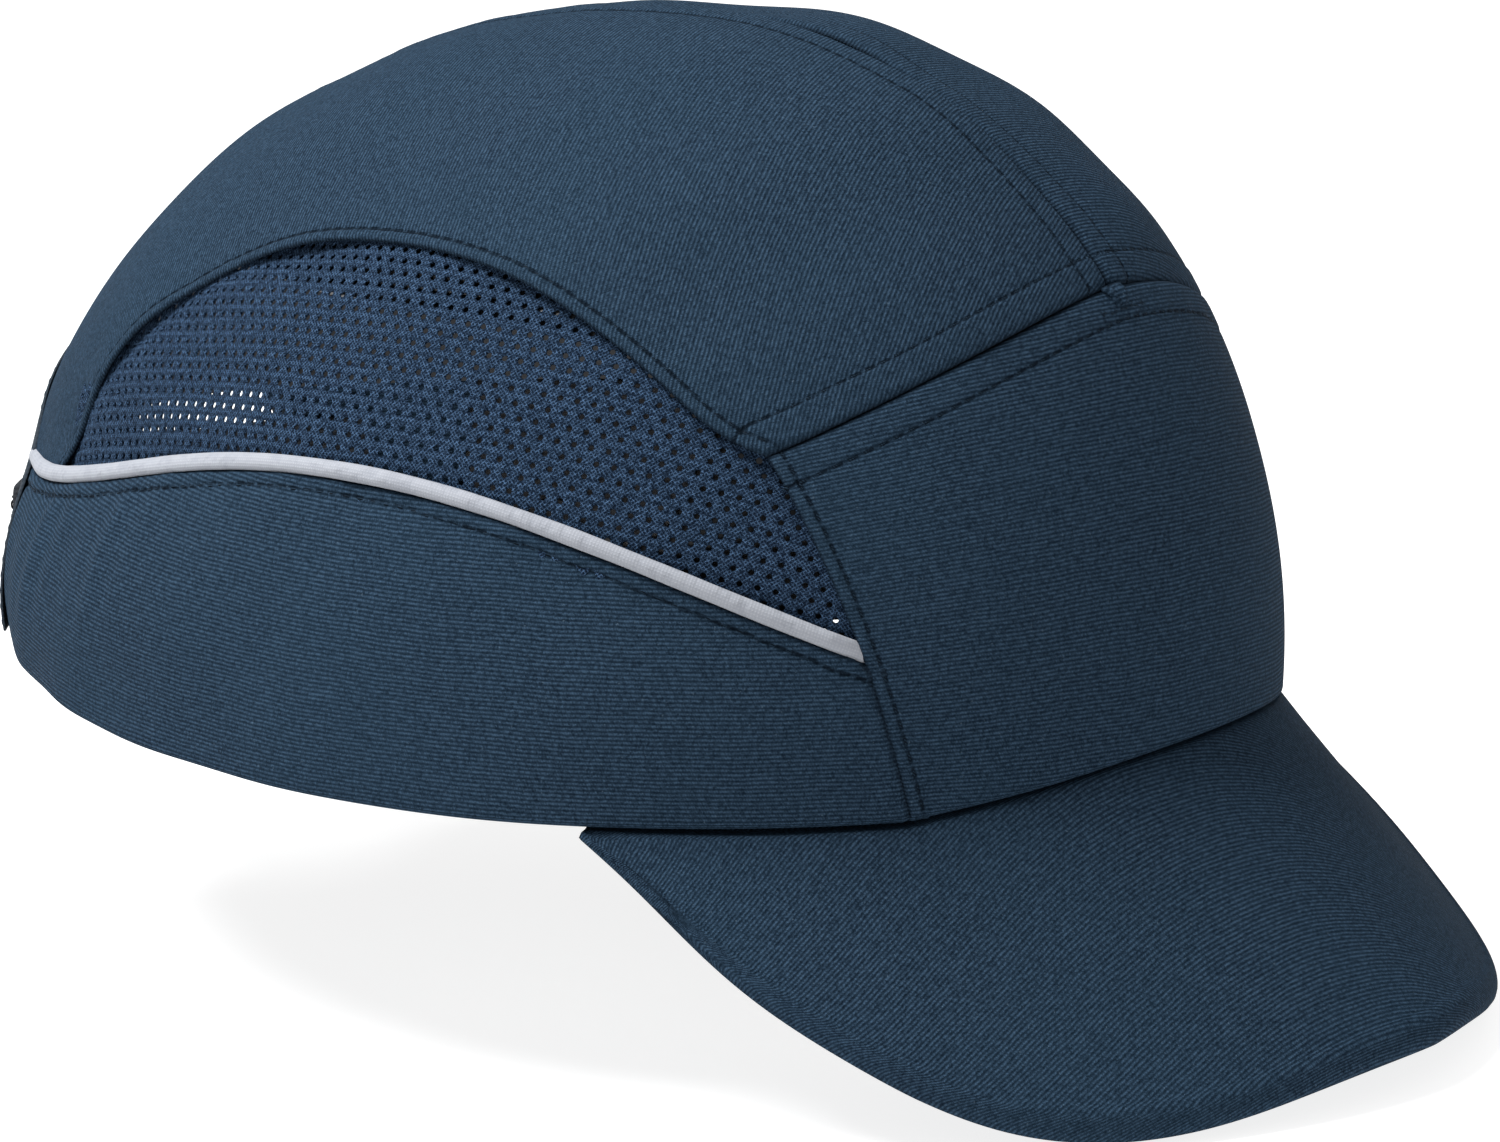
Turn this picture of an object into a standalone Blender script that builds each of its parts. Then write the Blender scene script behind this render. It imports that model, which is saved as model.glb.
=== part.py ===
# Bump cap: a fabric crown sewn from panels, a curved visor, a vented shell liner with foam
# pads, a sweatband, and a hook-and-loop strap across the rear arch.
# Metres. +Z up, front of the cap toward -Y, wearer's right toward -X, rim plane at Z = 0.
import math

import bmesh
import bpy
import numpy as np
from mathutils import Vector

# ------------------------------------------------------------------ crown form
HALF_LENGTH = 0.1120        # half of the crown's length at the rim, before the rear bias
REAR_BIAS = -0.104          # makes the rear half longer than the front half
HALF_WIDTH = 0.0902
HEIGHT = 0.1098
TOP_LEAN = -0.0125          # the apex sits this far toward the front
FULLNESS_FRONT = 2.01       # section exponent: 2 is an ellipse, more is boxier
FULLNESS_SIDE = 2.03
FULLNESS_REAR = 2.15
TUCK_FRONT = -0.0085         # how far the rim draws in below the widest level
TUCK_SIDE = 0.006
TUCK_REAR = 0.046
TUCK_POWER = 4.74
SQUARENESS = 0.0144         # fourth-order term of the plan outline

# ------------------------------------------------------------------ seams and layers
FABRIC = 0.0012
SEAM_GAP = 0.0003
PIPING_RADIUS = 0.0015
BINDING_RADIUS = 0.0011
TAPE_INSET = 0.00150
TAPE_THICKNESS = 0.0005
TAPE_HALF_WIDTH = 0.006
ARCH_HALF_WIDTH = 0.038
ARCH_HEIGHT = 0.044

# ------------------------------------------------------------------ visor
FRONT_RISE = 0.0056         # how far the front panel's lower edge arches up at the centre
FRONT_RISE_HALF = 0.0522
VISOR_SWEEP = 66.2          # where the visor ends round the rim, degrees from the front
VISOR_REACH = 0.0410        # plan length beyond the front of the rim
VISOR_EDGE_POWERS = (1.60, 2.84)
VISOR_EDGE_FRONT_Z = -0.0122
VISOR_EDGE_DROP = 27.4      # fall of the outer edge toward the front, degrees
VISOR_CURL = 7.84           # curvature of the outer edge across, 1/m
VISOR_FLARE = 719.0         # how the curl eases toward the ends, 1/m3
VISOR_ROOT_GAP = 0.0011     # top face below the panels' lower edge
VISOR_SKIN = 0.0008
VISOR_BOARD = 0.0011
VISOR_PLY_GAP = 0.0004
VISOR_EDGE_TURN = 0.0031
VISOR_TUCK = -0.0008        # how far the root runs under the panels' lower edge

# ------------------------------------------------------------------ inside
SWEATBAND_INSET = 0.0036
SWEATBAND_THICKNESS = 0.0018
SWEATBAND_CLEAR = 0.0017    # gap from the crown's outer face
SWEATBAND_Z = (0.0008, 0.0290)
SWEATBAND_REACH = 138.0     # it ends at this angle from the front, on each side
PASSAGE_INSET = 0.0070      # the liner stays this far inside the rim, so it can drop out
SHELL_INSET = 0.0026
SHELL_THICKNESS = 0.0020
SHELL_EDGE_Z = 0.0310
PAD_INSET = 0.0055
PAD_THICKNESS = 0.0060
PAD_CORNER = 3.2

# ------------------------------------------------------------------ rear strap, on one arc
ARC_CENTRE_Y = 0.0597
STRAP_Z = (0.0030, 0.0230)
TAPE_Z = (0.0045, 0.0215)
R_TAB = (0.0555, 0.0566)
R_LOOP = (0.0568, 0.0578)
R_HOOK = (0.0580, 0.0590)
R_FLAP = (0.0592, 0.0603)
LEFT_TAB = (-52.0, 6.0)
LOOP_TAPE = (-30.0, 5.0)
HOOK_TAPE = (-16.0, 17.0)
FLAP = (-17.7, 23.6)
PULL_TAB = (-25.0, -18.0)
ANCHOR = (24.0, 30.0)
WEBBING = (24.0, 52.0)

# ------------------------------------------------------------------ colours
NAVY = (0.030, 0.052, 0.080)
NAVY_MESH = (0.024, 0.047, 0.086)
GREY_TAPE = (0.44, 0.46, 0.52)
CHARCOAL = (0.030, 0.033, 0.038)
BLACK = (0.012, 0.012, 0.013)
SHELL_BLACK = (0.018, 0.018, 0.020)
FOAM = (0.045, 0.047, 0.052)
BOARD = (0.70, 0.70, 0.68)


for old in list(bpy.data.objects):
    bpy.data.objects.remove(old, do_unlink=True)

scene = bpy.context.scene
cap = bpy.data.collections.new("bump_cap")
cutters = bpy.data.collections.new("cutters")
scene.collection.children.link(cap)
scene.collection.children.link(cutters)


def material(name, colour, roughness, metallic=0.0):
    made = bpy.data.materials.new(name)
    made.use_nodes = True
    shader = made.node_tree.nodes["Principled BSDF"]
    shader.inputs["Base Color"].default_value = (*colour, 1.0)
    shader.inputs["Roughness"].default_value = roughness
    shader.inputs["Metallic"].default_value = metallic
    return made


# ------------------------------------------------------------------ crown surface
def crown_raw(phi, theta):
    """Outer face of the crown. phi 0 is the front, theta 0 the rim, 90 degrees the apex."""
    s = math.sin(phi)
    c = math.cos(phi)
    front = max(c, 0.0) ** 2
    rear = max(-c, 0.0) ** 2
    side = s * s
    fullness = FULLNESS_FRONT * front + FULLNESS_REAR * rear + FULLNESS_SIDE * side
    tuck = TUCK_FRONT * front + TUCK_REAR * rear + TUCK_SIDE * side
    if theta >= 0.0:
        spread = math.cos(theta) ** (2.0 / fullness)
        z = HEIGHT * math.sin(theta) ** (2.0 / fullness)
    else:
        spread = 1.0
        z = HEIGHT * theta
    spread *= 1.0 - tuck * (1.0 - z / HEIGHT) ** TUCK_POWER
    spread *= 1.0 + SQUARENESS * math.cos(4.0 * phi)
    length = HALF_LENGTH * (1.0 + REAR_BIAS * c)
    x = HALF_WIDTH * s * spread
    y = -length * c * spread + TOP_LEAN * z / HEIGHT
    return Vector((x, y, z))


def theta_at(phi, z):
    """Section angle at which the crown stands at height z."""
    front = max(math.cos(phi), 0.0) ** 2
    rear = max(-math.cos(phi), 0.0) ** 2
    side = math.sin(phi) ** 2
    fullness = FULLNESS_FRONT * front + FULLNESS_REAR * rear + FULLNESS_SIDE * side
    return math.asin((z / HEIGHT) ** (fullness / 2.0))


def crown_point(phi, theta, inset=0.0):
    point = crown_raw(phi, theta)
    if inset == 0.0:
        return point
    step = 0.004
    along = crown_raw(phi + step, theta) - crown_raw(phi - step, theta)
    top = min(theta + step, math.radians(89.9))
    up = crown_raw(phi, top) - crown_raw(phi, theta - step)
    normal = along.cross(up).normalized()
    return point - normal * inset


def rim_point(phi, outset=0.0):
    """Rim outline in plan, moved outward by outset."""
    step = 0.004
    point = crown_raw(phi, 0.0)
    along = crown_raw(phi + step, 0.0) - crown_raw(phi - step, 0.0)
    outward = Vector((along.y, -along.x, 0.0)).normalized()
    return Vector((point.x, point.y, 0.0)) + outward * outset


TURN = np.linspace(-math.pi, math.pi, 361)
PASSAGE = [rim_point(a, -PASSAGE_INSET) for a in TURN]
PASSAGE_ANGLE = np.array([math.atan2(p.x, -p.y) for p in PASSAGE])
PASSAGE_ANGLE[0] = -math.pi
PASSAGE_ANGLE[-1] = math.pi
PASSAGE_RADIUS = np.array([math.hypot(p.x, p.y) for p in PASSAGE])


def liner_point(phi, theta, inset):
    """A face of the removable liner: follows the crown, but never wider than the passage."""
    point = crown_point(phi, theta, inset)
    reach = math.hypot(point.x, point.y)
    limit = float(np.interp(math.atan2(point.x, -point.y), PASSAGE_ANGLE, PASSAGE_RADIUS))
    limit -= inset - SHELL_INSET
    if reach > limit:
        point.x *= limit / reach
        point.y *= limit / reach
    return point


def dome(name, face, columns, rows):
    """Loft of closed sections from the lowest row up to a single point at the top."""
    mesh = bpy.data.meshes.new(name)
    bm = bmesh.new()
    rings = []
    for theta in rows:
        ring = []
        for i in range(columns):
            phi = math.tau * (i + 0.5) / columns
            ring.append(bm.verts.new(face(phi, math.radians(theta))))
        rings.append(ring)
    apex = bm.verts.new(face(0.0, math.radians(89.99)))
    for low, high in zip(rings, rings[1:]):
        for i in range(columns):
            j = (i + 1) % columns
            bm.faces.new((low[i], low[j], high[j], high[i]))
    for i in range(columns):
        bm.faces.new((rings[-1][i], rings[-1][(i + 1) % columns], apex))
    bm.normal_update()
    bm.to_mesh(mesh)
    bm.free()
    return mesh


def sheet(name, mesh, thickness, look, parent=None):
    """An object whose mesh is a face, given thickness away from its normal side."""
    made = bpy.data.objects.new(name, mesh)
    cap.objects.link(made)
    if not mesh.materials:
        mesh.materials.append(None)
    made.material_slots[0].link = "OBJECT"
    made.material_slots[0].material = look
    thick = made.modifiers.new("thickness", "SOLIDIFY")
    thick.thickness = thickness
    thick.offset = -1.0
    thick.use_even_offset = True
    made.parent = parent
    return made


# ------------------------------------------------------------------ flat outlines
def outline_mesh(name, points, depth):
    """Closed 2D outline, filled and extruded to depth, centred on its plane."""
    curve = bpy.data.curves.new(name, "CURVE")
    curve.dimensions = "2D"
    curve.fill_mode = "BOTH"
    curve.extrude = depth / 2.0
    spline = curve.splines.new("POLY")
    spline.points.add(len(points) - 1)
    for knot, (u, v) in zip(spline.points, points):
        knot.co = (u, v, 0.0, 1.0)
    spline.use_cyclic_u = True
    holder = bpy.data.objects.new(name, curve)
    scene.collection.objects.link(holder)
    bpy.context.view_layer.update()
    evaluated = holder.evaluated_get(bpy.context.evaluated_depsgraph_get())
    mesh = bpy.data.meshes.new_from_object(evaluated)
    bpy.data.objects.remove(holder, do_unlink=True)
    bm = bmesh.new()
    bm.from_mesh(mesh)
    bmesh.ops.remove_doubles(bm, verts=bm.verts, dist=0.00001)
    bmesh.ops.recalc_face_normals(bm, faces=bm.faces)
    bm.to_mesh(mesh)
    bm.free()
    mesh.name = name
    return mesh


VIEW_TURN = {
    "plan": (0.0, 0.0, 0.0),
    "front": (math.pi / 2.0, 0.0, 0.0),
    "side": (math.pi / 2.0, 0.0, math.pi / 2.0),
}


def cutter(name, points, view, low, high):
    """Outline drawn in one view and swept along the view direction from low to high."""
    made = bpy.data.objects.new(name, outline_mesh(name, points, high - low))
    cutters.objects.link(made)
    made.rotation_euler = VIEW_TURN[view]
    middle = (low + high) / 2.0
    made.location = {
        "plan": (0.0, 0.0, middle),
        "front": (0.0, middle, 0.0),
        "side": (middle, 0.0, 0.0),
    }[view]
    made.hide_render = True
    made.display_type = "WIRE"
    return made


def carve(target, tool, keep):
    """keep True leaves what lies inside the tool, False what lies outside it."""
    cut = target.modifiers.new(tool.name, "BOOLEAN")
    cut.object = tool
    cut.operation = "INTERSECT" if keep else "DIFFERENCE"
    cut.solver = "EXACT"


def rounded(cx, cy, half_u, half_v, power, count=28):
    """Superellipse outline."""
    points = []
    for i in range(count):
        a = math.tau * i / count
        u = math.copysign(abs(math.cos(a)) ** (2.0 / power), math.cos(a))
        v = math.copysign(abs(math.sin(a)) ** (2.0 / power), math.sin(a))
        points.append((cx + half_u * u, cy + half_v * v))
    return points


def arc_band(start, end, radii):
    """Plan outline of a strap on the rear arc. Angles in degrees, plus toward the right."""
    count = max(3, int(abs(end - start) / 4.0) + 1)
    angles = np.radians(np.linspace(start, end, count))
    outer = [(-radii[1] * math.sin(a), ARC_CENTRE_Y + radii[1] * math.cos(a)) for a in angles]
    inner = [(-radii[0] * math.sin(a), ARC_CENTRE_Y + radii[0] * math.cos(a)) for a in angles]
    return outer + inner[::-1]


# ------------------------------------------------------------------ seam lines
def piping_height(y):
    """Height of the piped seam, by distance along the cap."""
    t = y / 0.1
    return 0.001 * (49.4 - 0.3 * t - 36.2 * t * t + 9.1 * t ** 3 + 8.2 * t ** 4)


def shoulder_width(y):
    """Half width, in plan, of the crown top between the two mesh panels."""
    t = y / 0.1
    return 0.001 * (62.1 - 13.1 * t - 4.6 * t * t + 18.6 * t ** 3 - 10.6 * t ** 4)


def front_top(x):
    """Height of the seam between the front panel and the crown top."""
    return 0.0736 - 0.0180 * (abs(x) / 0.0603) ** 1.7


def front_side(z):
    """Half width of the front panel, by height."""
    t = z / 0.0556
    return 0.0522 + 0.0132 * t - 0.0050 * t * t


def front_rise(x):
    """Height of the front panel's lower edge, front view."""
    return FRONT_RISE * max(0.0, 1.0 - (x / FRONT_RISE_HALF) ** 2)


def mirror_outline(half):
    """Close a list of (half width, v) pairs into an outline symmetric about the centre."""
    return [(u, v) for u, v in half] + [(-u, v) for u, v in half[::-1]]


def front_outline(grow):
    half = [(front_side(0.0) + grow, 0.0 if grow <= 0.0 else -0.008)]
    for z in np.linspace(0.0, 0.0556, 9):
        half.append((front_side(z) + grow, z + (1e-5 if z == 0.0 else 0.0)))
    corner = front_side(0.0556)
    for u in np.linspace(corner - 0.0025, 0.0, 12):
        half.append((u + grow * u / corner, front_top(u) + grow))
    outline = [(u, v) for u, v in half] + [(-u, v) for u, v in half[-2::-1]]
    if grow <= 0.0:
        outline += [(u, front_rise(u)) for u in np.linspace(-0.0500, 0.0500, 21)]
    return outline


def shoulder_outline(grow):
    ys = np.linspace(-0.082, 0.086, 24)
    half = [(shoulder_width(y) + grow, y) for y in ys]
    half.append((0.0525 + grow, 0.100))
    half.append((0.0525 + grow, 0.140))
    half.insert(0, (shoulder_width(-0.082) + grow, -0.140))
    return mirror_outline(half)


def piping_outline(lift, floor):
    """Side view of everything below the piped seam raised by lift, down to floor."""
    ys = np.linspace(-0.100, 0.105, 40)
    line = [(y, piping_height(y) + lift) for y in ys]
    start = max(line[0][1] - 0.02, floor + 0.002)
    end = line[-1][1] - 0.010
    return [(-0.140, floor), (-0.140, start)] + line + [(0.135, end), (0.135, floor)]


ARCH_STEPS = 32


def arch_outline(grow):
    points = []
    for i in range(ARCH_STEPS + 1):
        a = math.pi * i / ARCH_STEPS
        u = math.copysign(abs(math.cos(a)) ** (2.0 / 2.3), math.cos(a))
        v = math.sin(a) ** (2.0 / 2.3)
        points.append(((ARCH_HALF_WIDTH + grow) * u, (ARCH_HEIGHT + grow) * v))
    return [(ARCH_HALF_WIDTH + grow, -0.010)] + points + [(-ARCH_HALF_WIDTH - grow, -0.010)]


half_gap = SEAM_GAP / 2.0
piping_clear = PIPING_RADIUS + SEAM_GAP

front_in = cutter("cut_front_in", front_outline(-half_gap), "front", -0.130, -0.030)
front_out = cutter("cut_front_out", front_outline(half_gap), "front", -0.130, -0.030)
top_in = cutter("cut_top_in", shoulder_outline(-half_gap), "plan", -0.020, 0.130)
top_out = cutter("cut_top_out", shoulder_outline(half_gap), "plan", -0.020, 0.130)
above_pipe = cutter("cut_above_pipe", piping_outline(piping_clear, -0.020), "side", -0.12, 0.12)
below_pipe = cutter("cut_below_pipe", piping_outline(-piping_clear, 0.0), "side", -0.12, 0.12)
rear_arch = cutter("cut_rear_arch", arch_outline(BINDING_RADIUS + SEAM_GAP), "front", 0.060, 0.140)
right_half = cutter("cut_right", [(-0.15, -0.15), (-half_gap, -0.15), (-half_gap, 0.15), (-0.15, 0.15)],
                    "plan", -0.05, 0.15)
left_half = cutter("cut_left", [(half_gap, -0.15), (0.15, -0.15), (0.15, 0.15), (half_gap, 0.15)],
                   "plan", -0.05, 0.15)
halves = {"right": right_half, "left": left_half}

# ------------------------------------------------------------------ crown panels
twill = material("navy_twill", NAVY, 0.85)
knit = material("navy_mesh", NAVY_MESH, 0.8)
piping_tape = material("grey_piping", GREY_TAPE, 0.6)
binding_tape = material("binding_tape", CHARCOAL, 0.8)

CROWN_ROWS = (-2.4, 3.0, 8.0, 13.0, 19.0, 25.0, 31.0, 38.0, 45.0, 52.0, 60.0, 68.0, 77.0)
crown_face = dome("crown_face", crown_point, 64, CROWN_ROWS)

front_panel = sheet("front_panel", crown_face, FABRIC, twill)
carve(front_panel, front_in, True)

for side, half in halves.items():
    side_crown = sheet("side_crown_" + side, crown_face, FABRIC, twill)
    carve(side_crown, half, True)
    carve(side_crown, above_pipe, False)
    carve(side_crown, top_in, True)
    carve(side_crown, front_out, False)
    carve(side_crown, rear_arch, False)

    mesh_panel = sheet("mesh_panel_" + side, crown_face, FABRIC, knit)
    carve(mesh_panel, half, True)
    carve(mesh_panel, above_pipe, False)
    carve(mesh_panel, top_out, False)
    carve(mesh_panel, front_out, False)

    side_band = sheet("side_band_" + side, crown_face, FABRIC, twill)
    carve(side_band, half, True)
    carve(side_band, below_pipe, True)
    carve(side_band, front_out, False)
    carve(side_band, rear_arch, False)


# ------------------------------------------------------------------ piping and binding
def surface_phi_theta(test, phi):
    """Lowest theta at this phi where test(point) turns positive."""
    low = 0.0
    high = math.radians(60.0)
    for _ in range(40):
        middle = (low + high) / 2.0
        if test(crown_raw(phi, middle)) > 0.0:
            high = middle
        else:
            low = middle
    return (low + high) / 2.0


def tube(name, points, radius, look, parent=None):
    curve = bpy.data.curves.new(name, "CURVE")
    curve.dimensions = "3D"
    curve.bevel_depth = radius
    curve.bevel_resolution = 2
    curve.use_fill_caps = True
    spline = curve.splines.new("POLY")
    spline.points.add(len(points) - 1)
    for knot, point in zip(spline.points, points):
        knot.co = (*point, 1.0)
    made = bpy.data.objects.new(name, curve)
    cap.objects.link(made)
    curve.materials.append(look)
    made.parent = parent
    return made


def piping_line(sign):
    points = []
    for degrees in np.linspace(46.0, 156.0, 34):
        phi = sign * math.radians(degrees)
        theta = surface_phi_theta(lambda p: p.z - piping_height(p.y), phi)
        points.append(crown_point(phi, theta, FABRIC / 2.0 - 0.0004))
    return points


tube("piping_right", piping_line(-1.0), PIPING_RADIUS, piping_tape)
tube("piping_left", piping_line(1.0), PIPING_RADIUS, piping_tape)


def arch_line():
    points = []
    for u, v in arch_outline(0.0)[1:-1]:
        v = max(v, 0.0014)
        low = math.radians(90.0)
        high = math.radians(180.0)
        theta = 0.0
        for _ in range(60):
            phi = (low + high) / 2.0
            theta = theta_at(phi, v)
            reach = crown_raw(phi, theta).x
            if reach > abs(u):
                low = phi
            else:
                high = phi
        point = crown_point(phi, theta, FABRIC / 2.0 - 0.0002)
        points.append(Vector((math.copysign(point.x, u), point.y, v)))
    return points


tube("rear_arch_binding", arch_line(), BINDING_RADIUS, binding_tape)

# ------------------------------------------------------------------ seam tape and sweatband
tape_face = dome("tape_face", lambda p, t: crown_point(p, t, TAPE_INSET), 64, CROWN_ROWS[7:])
seam_tape = sheet("centre_seam_tape", tape_face, TAPE_THICKNESS, binding_tape)
tape_cut = cutter("cut_tape", rounded(0.0, 0.003, TAPE_HALF_WIDTH, 0.076, 12.0, 40), "plan", 0.05, 0.13)
carve(seam_tape, tape_cut, True)

sweat_cloth = material("sweatband_cloth", BLACK, 0.9)


def sweatband_point(phi, z):
    """Outer face of the sweatband: inside the panels, and no wider than the rim allows."""
    point = crown_point(phi, theta_at(phi, z), SWEATBAND_CLEAR)
    reach = math.hypot(point.x, point.y)
    widest = float(np.interp(math.atan2(point.x, -point.y), PASSAGE_ANGLE, PASSAGE_RADIUS))
    widest += PASSAGE_INSET - SWEATBAND_INSET
    if reach > widest:
        point.x *= widest / reach
        point.y *= widest / reach
    return Vector((point.x, point.y, z))


def sweatband_face():
    mesh = bpy.data.meshes.new("sweatband")
    bm = bmesh.new()
    rings = []
    for level in np.linspace(0.0, 1.0, 3):
        ring = []
        for phi in np.linspace(-SWEATBAND_REACH, SWEATBAND_REACH, 65):
            turn = math.radians(phi)
            low = SWEATBAND_Z[0]
            if abs(phi) < 90.0:
                low += front_rise(crown_raw(turn, 0.0).x)
            ring.append(bm.verts.new(sweatband_point(turn, low + level * (SWEATBAND_Z[1] - low))))
        rings.append(ring)
    for low, high in zip(rings, rings[1:]):
        for i in range(len(low) - 1):
            bm.faces.new((low[i], low[i + 1], high[i + 1], high[i]))
    bm.normal_update()
    bm.to_mesh(mesh)
    bm.free()
    return mesh


sweatband = sheet("sweatband", sweatband_face(), SWEATBAND_THICKNESS, sweat_cloth)

# ------------------------------------------------------------------ visor
EDGE_SLOPE = math.tan(math.radians(VISOR_EDGE_DROP))
RIM_FRONT = crown_raw(0.0, 0.0).y
VISOR_END = crown_raw(math.radians(VISOR_SWEEP), 0.0)


def visor_edge(s, shrink):
    """Outer edge of the visor in plan, s from -1 (right) to 1 (left)."""
    a = s * math.pi / 2.0
    half = VISOR_END.x - shrink
    front = RIM_FRONT - VISOR_REACH + shrink
    x = half * math.copysign(abs(math.sin(a)) ** (2.0 / VISOR_EDGE_POWERS[0]), s)
    y = VISOR_END.y + (front - VISOR_END.y) * abs(math.cos(a)) ** (2.0 / VISOR_EDGE_POWERS[1])
    return Vector((x, y, 0.0))


ROOT_LINE = [crown_raw(a, 0.0) for a in np.radians(np.linspace(0.0, 80.0, 161))]
EDGE_LINE = [visor_edge(s, 0.0) for s in np.linspace(0.0, 1.0, 401)]


def visor_z(x, y):
    """Top face: straight from the arched root to the outer edge at every width."""
    u = abs(x)
    y_root = float(np.interp(u, [p.x for p in ROOT_LINE], [p.y for p in ROOT_LINE]))
    y_edge = float(np.interp(u, [p.x for p in EDGE_LINE], [p.y for p in EDGE_LINE]))
    z_root = front_rise(u) - VISOR_ROOT_GAP
    z_edge = (VISOR_EDGE_FRONT_Z + EDGE_SLOPE * (y_edge - RIM_FRONT)
              - VISOR_CURL * u ** 2 + VISOR_FLARE * u ** 4)
    t = (y_root - y) / max(y_root - y_edge, 0.002)
    return z_root + (z_edge - z_root) * min(max(t, 0.0), 1.0)


def visor_rise(p, depth):
    """Height of a face lying depth below the top face, measured square to it."""
    step = 0.0008
    across = (visor_z(p.x + step, p.y) - visor_z(p.x - step, p.y)) / (2.0 * step)
    along = (visor_z(p.x, p.y + step) - visor_z(p.x, p.y - step)) / step
    steepness = math.sqrt(1.0 + across ** 2 + (along / 2.0) ** 2)
    return visor_z(p.x, p.y) - depth * min(max(steepness, 1.25), 1.80)


def visor_rim(s, clearance):
    """Inner edge of the visor, s from -1 (right) to 1 (left): tucked under the panels'
    lower edge at the front, standing clear of them by clearance at the corners."""
    outset = VISOR_TUCK + (clearance - VISOR_TUCK) * abs(s) ** 4
    return rim_point(s * math.radians(VISOR_SWEEP), outset)


def visor_ply(name, depth, shrink, root, end, thickness, look, turn=0.0, across=36, along=5):
    """One ply. depth: below the top face. root: off the rim. end: how near the corners it
    runs, 1 is all the way. turn: drop of a folded edge."""
    mesh = bpy.data.meshes.new(name)
    bm = bmesh.new()
    grid = []
    for i in range(across + 1):
        s = (-1.0 + 2.0 * i / across) * end
        inner = visor_rim(s, root)
        outer = visor_edge(s, shrink)
        span = (outer - inner).length
        if turn > 0.0 and span < 0.0036:
            outer = inner + (outer - inner).normalized() * 0.0036
        row = []
        for j in range(along + 1):
            p = inner.lerp(outer, j / along)
            p.z = visor_rise(p, depth)
            row.append(bm.verts.new(p))
        if turn > 0.0:
            p = outer.copy()
            p.z = visor_rise(p, depth + turn * min(1.0, max(span / 0.016, 0.35)))
            row.append(bm.verts.new(p))
        grid.append(row)
    for left, right in zip(grid, grid[1:]):
        for j in range(len(left) - 1):
            bm.faces.new((left[j], left[j + 1], right[j + 1], right[j]))
    bm.normal_update()
    if sum(f.normal.z for f in bm.faces) < 0.0:
        bmesh.ops.reverse_faces(bm, faces=bm.faces)
    bm.to_mesh(mesh)
    bm.free()
    return sheet(name, mesh, thickness, look)


board_white = material("visor_board", BOARD, 0.5)
edge_clear = VISOR_SKIN + VISOR_PLY_GAP
board_depth = VISOR_SKIN + VISOR_PLY_GAP
under_depth = board_depth + VISOR_BOARD + VISOR_PLY_GAP * 1.6
visor_ply("visor_top_cover", 0.0, 0.0, 0.0022, 0.995, VISOR_SKIN, twill, turn=VISOR_EDGE_TURN)
visor_ply("visor_board", board_depth, edge_clear * 1.5, 0.0030, 0.800, VISOR_BOARD, board_white)
visor_ply("visor_under_cover", under_depth, edge_clear * 1.5, 0.0030, 0.800, VISOR_SKIN, twill)

# ------------------------------------------------------------------ removable liner
hdpe = material("shell_hdpe", SHELL_BLACK, 0.45)
eva = material("eva_foam", FOAM, 0.95)
liner = bpy.data.objects.new("liner", None)
cap.objects.link(liner)

LINER_ROWS = (14.0, 20.0, 27.0, 34.0, 42.0, 50.0, 59.0, 69.0, 80.0)
shell_face = dome("shell_face", lambda p, t: liner_point(p, t, SHELL_INSET), 48, LINER_ROWS)
shell = sheet("impact_shell", shell_face, SHELL_THICKNESS, hdpe, liner)
trim = cutter("cut_shell_edge", [(-0.14, -0.14), (0.14, -0.14), (0.14, 0.14), (-0.14, 0.14)],
              "plan", SHELL_EDGE_Z, 0.13)
carve(shell, trim, True)
window = cutter("cut_window", rounded(0.008, 0.0555, 0.060, 0.0165, 3.6, 36), "side", -0.12, 0.12)
carve(shell, window, False)
for x in (-0.038, 0.038):
    for y in (-0.038, -0.002, 0.034):
        tag = "cut_vent_%s_%d" % ("r" if x < 0.0 else "l", round(y * 1000.0))
        carve(shell, cutter(tag, rounded(x, y, 0.0036, 0.0115, 3.0, 16), "plan", 0.06, 0.13), False)

pad_face = dome("pad_face", lambda p, t: liner_point(p, t, PAD_INSET), 48, LINER_ROWS)


def pad(name, points, view, low, high):
    made = sheet(name, pad_face, PAD_THICKNESS, eva, liner)
    carve(made, cutter("cut_" + name, points, view, low, high), True)
    return made


pad("pad_front", rounded(0.0, 0.0500, 0.040, 0.0150, PAD_CORNER), "front", -0.13, -0.03)
pad("pad_rear", rounded(0.0, 0.0600, 0.034, 0.0120, PAD_CORNER), "front", 0.03, 0.13)
pad("pad_crown", rounded(0.0, -0.004, 0.028, 0.042, 2.6), "plan", 0.07, 0.13)
pad("pad_right", rounded(-0.0530, 0.001, 0.0065, 0.028, PAD_CORNER), "plan", 0.06, 0.13)
pad("pad_left", rounded(0.0530, 0.001, 0.0065, 0.028, PAD_CORNER), "plan", 0.06, 0.13)


# ------------------------------------------------------------------ rear strap
def strap(name, span, radii, heights, look, parent=None):
    made = bpy.data.objects.new(name, outline_mesh(name, arc_band(*span, radii), heights[1] - heights[0]))
    cap.objects.link(made)
    made.data.materials.append(look)
    made.location.z = sum(heights) / 2.0
    made.parent = parent
    return made


strap_cloth = material("strap_webbing", CHARCOAL, 0.85)
elastic_cloth = material("elastic_webbing", BLACK, 0.9)
loop_pile = material("loop_pile", BLACK, 0.95)
hook_plastic = material("hook_tape", SHELL_BLACK, 0.5)
grip_rubber = material("grip_rubber", CHARCOAL, 0.6)

strap("loop_strap", LEFT_TAB, R_TAB, STRAP_Z, strap_cloth)
strap("loop_tape", LOOP_TAPE, R_LOOP, TAPE_Z, loop_pile)

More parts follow.
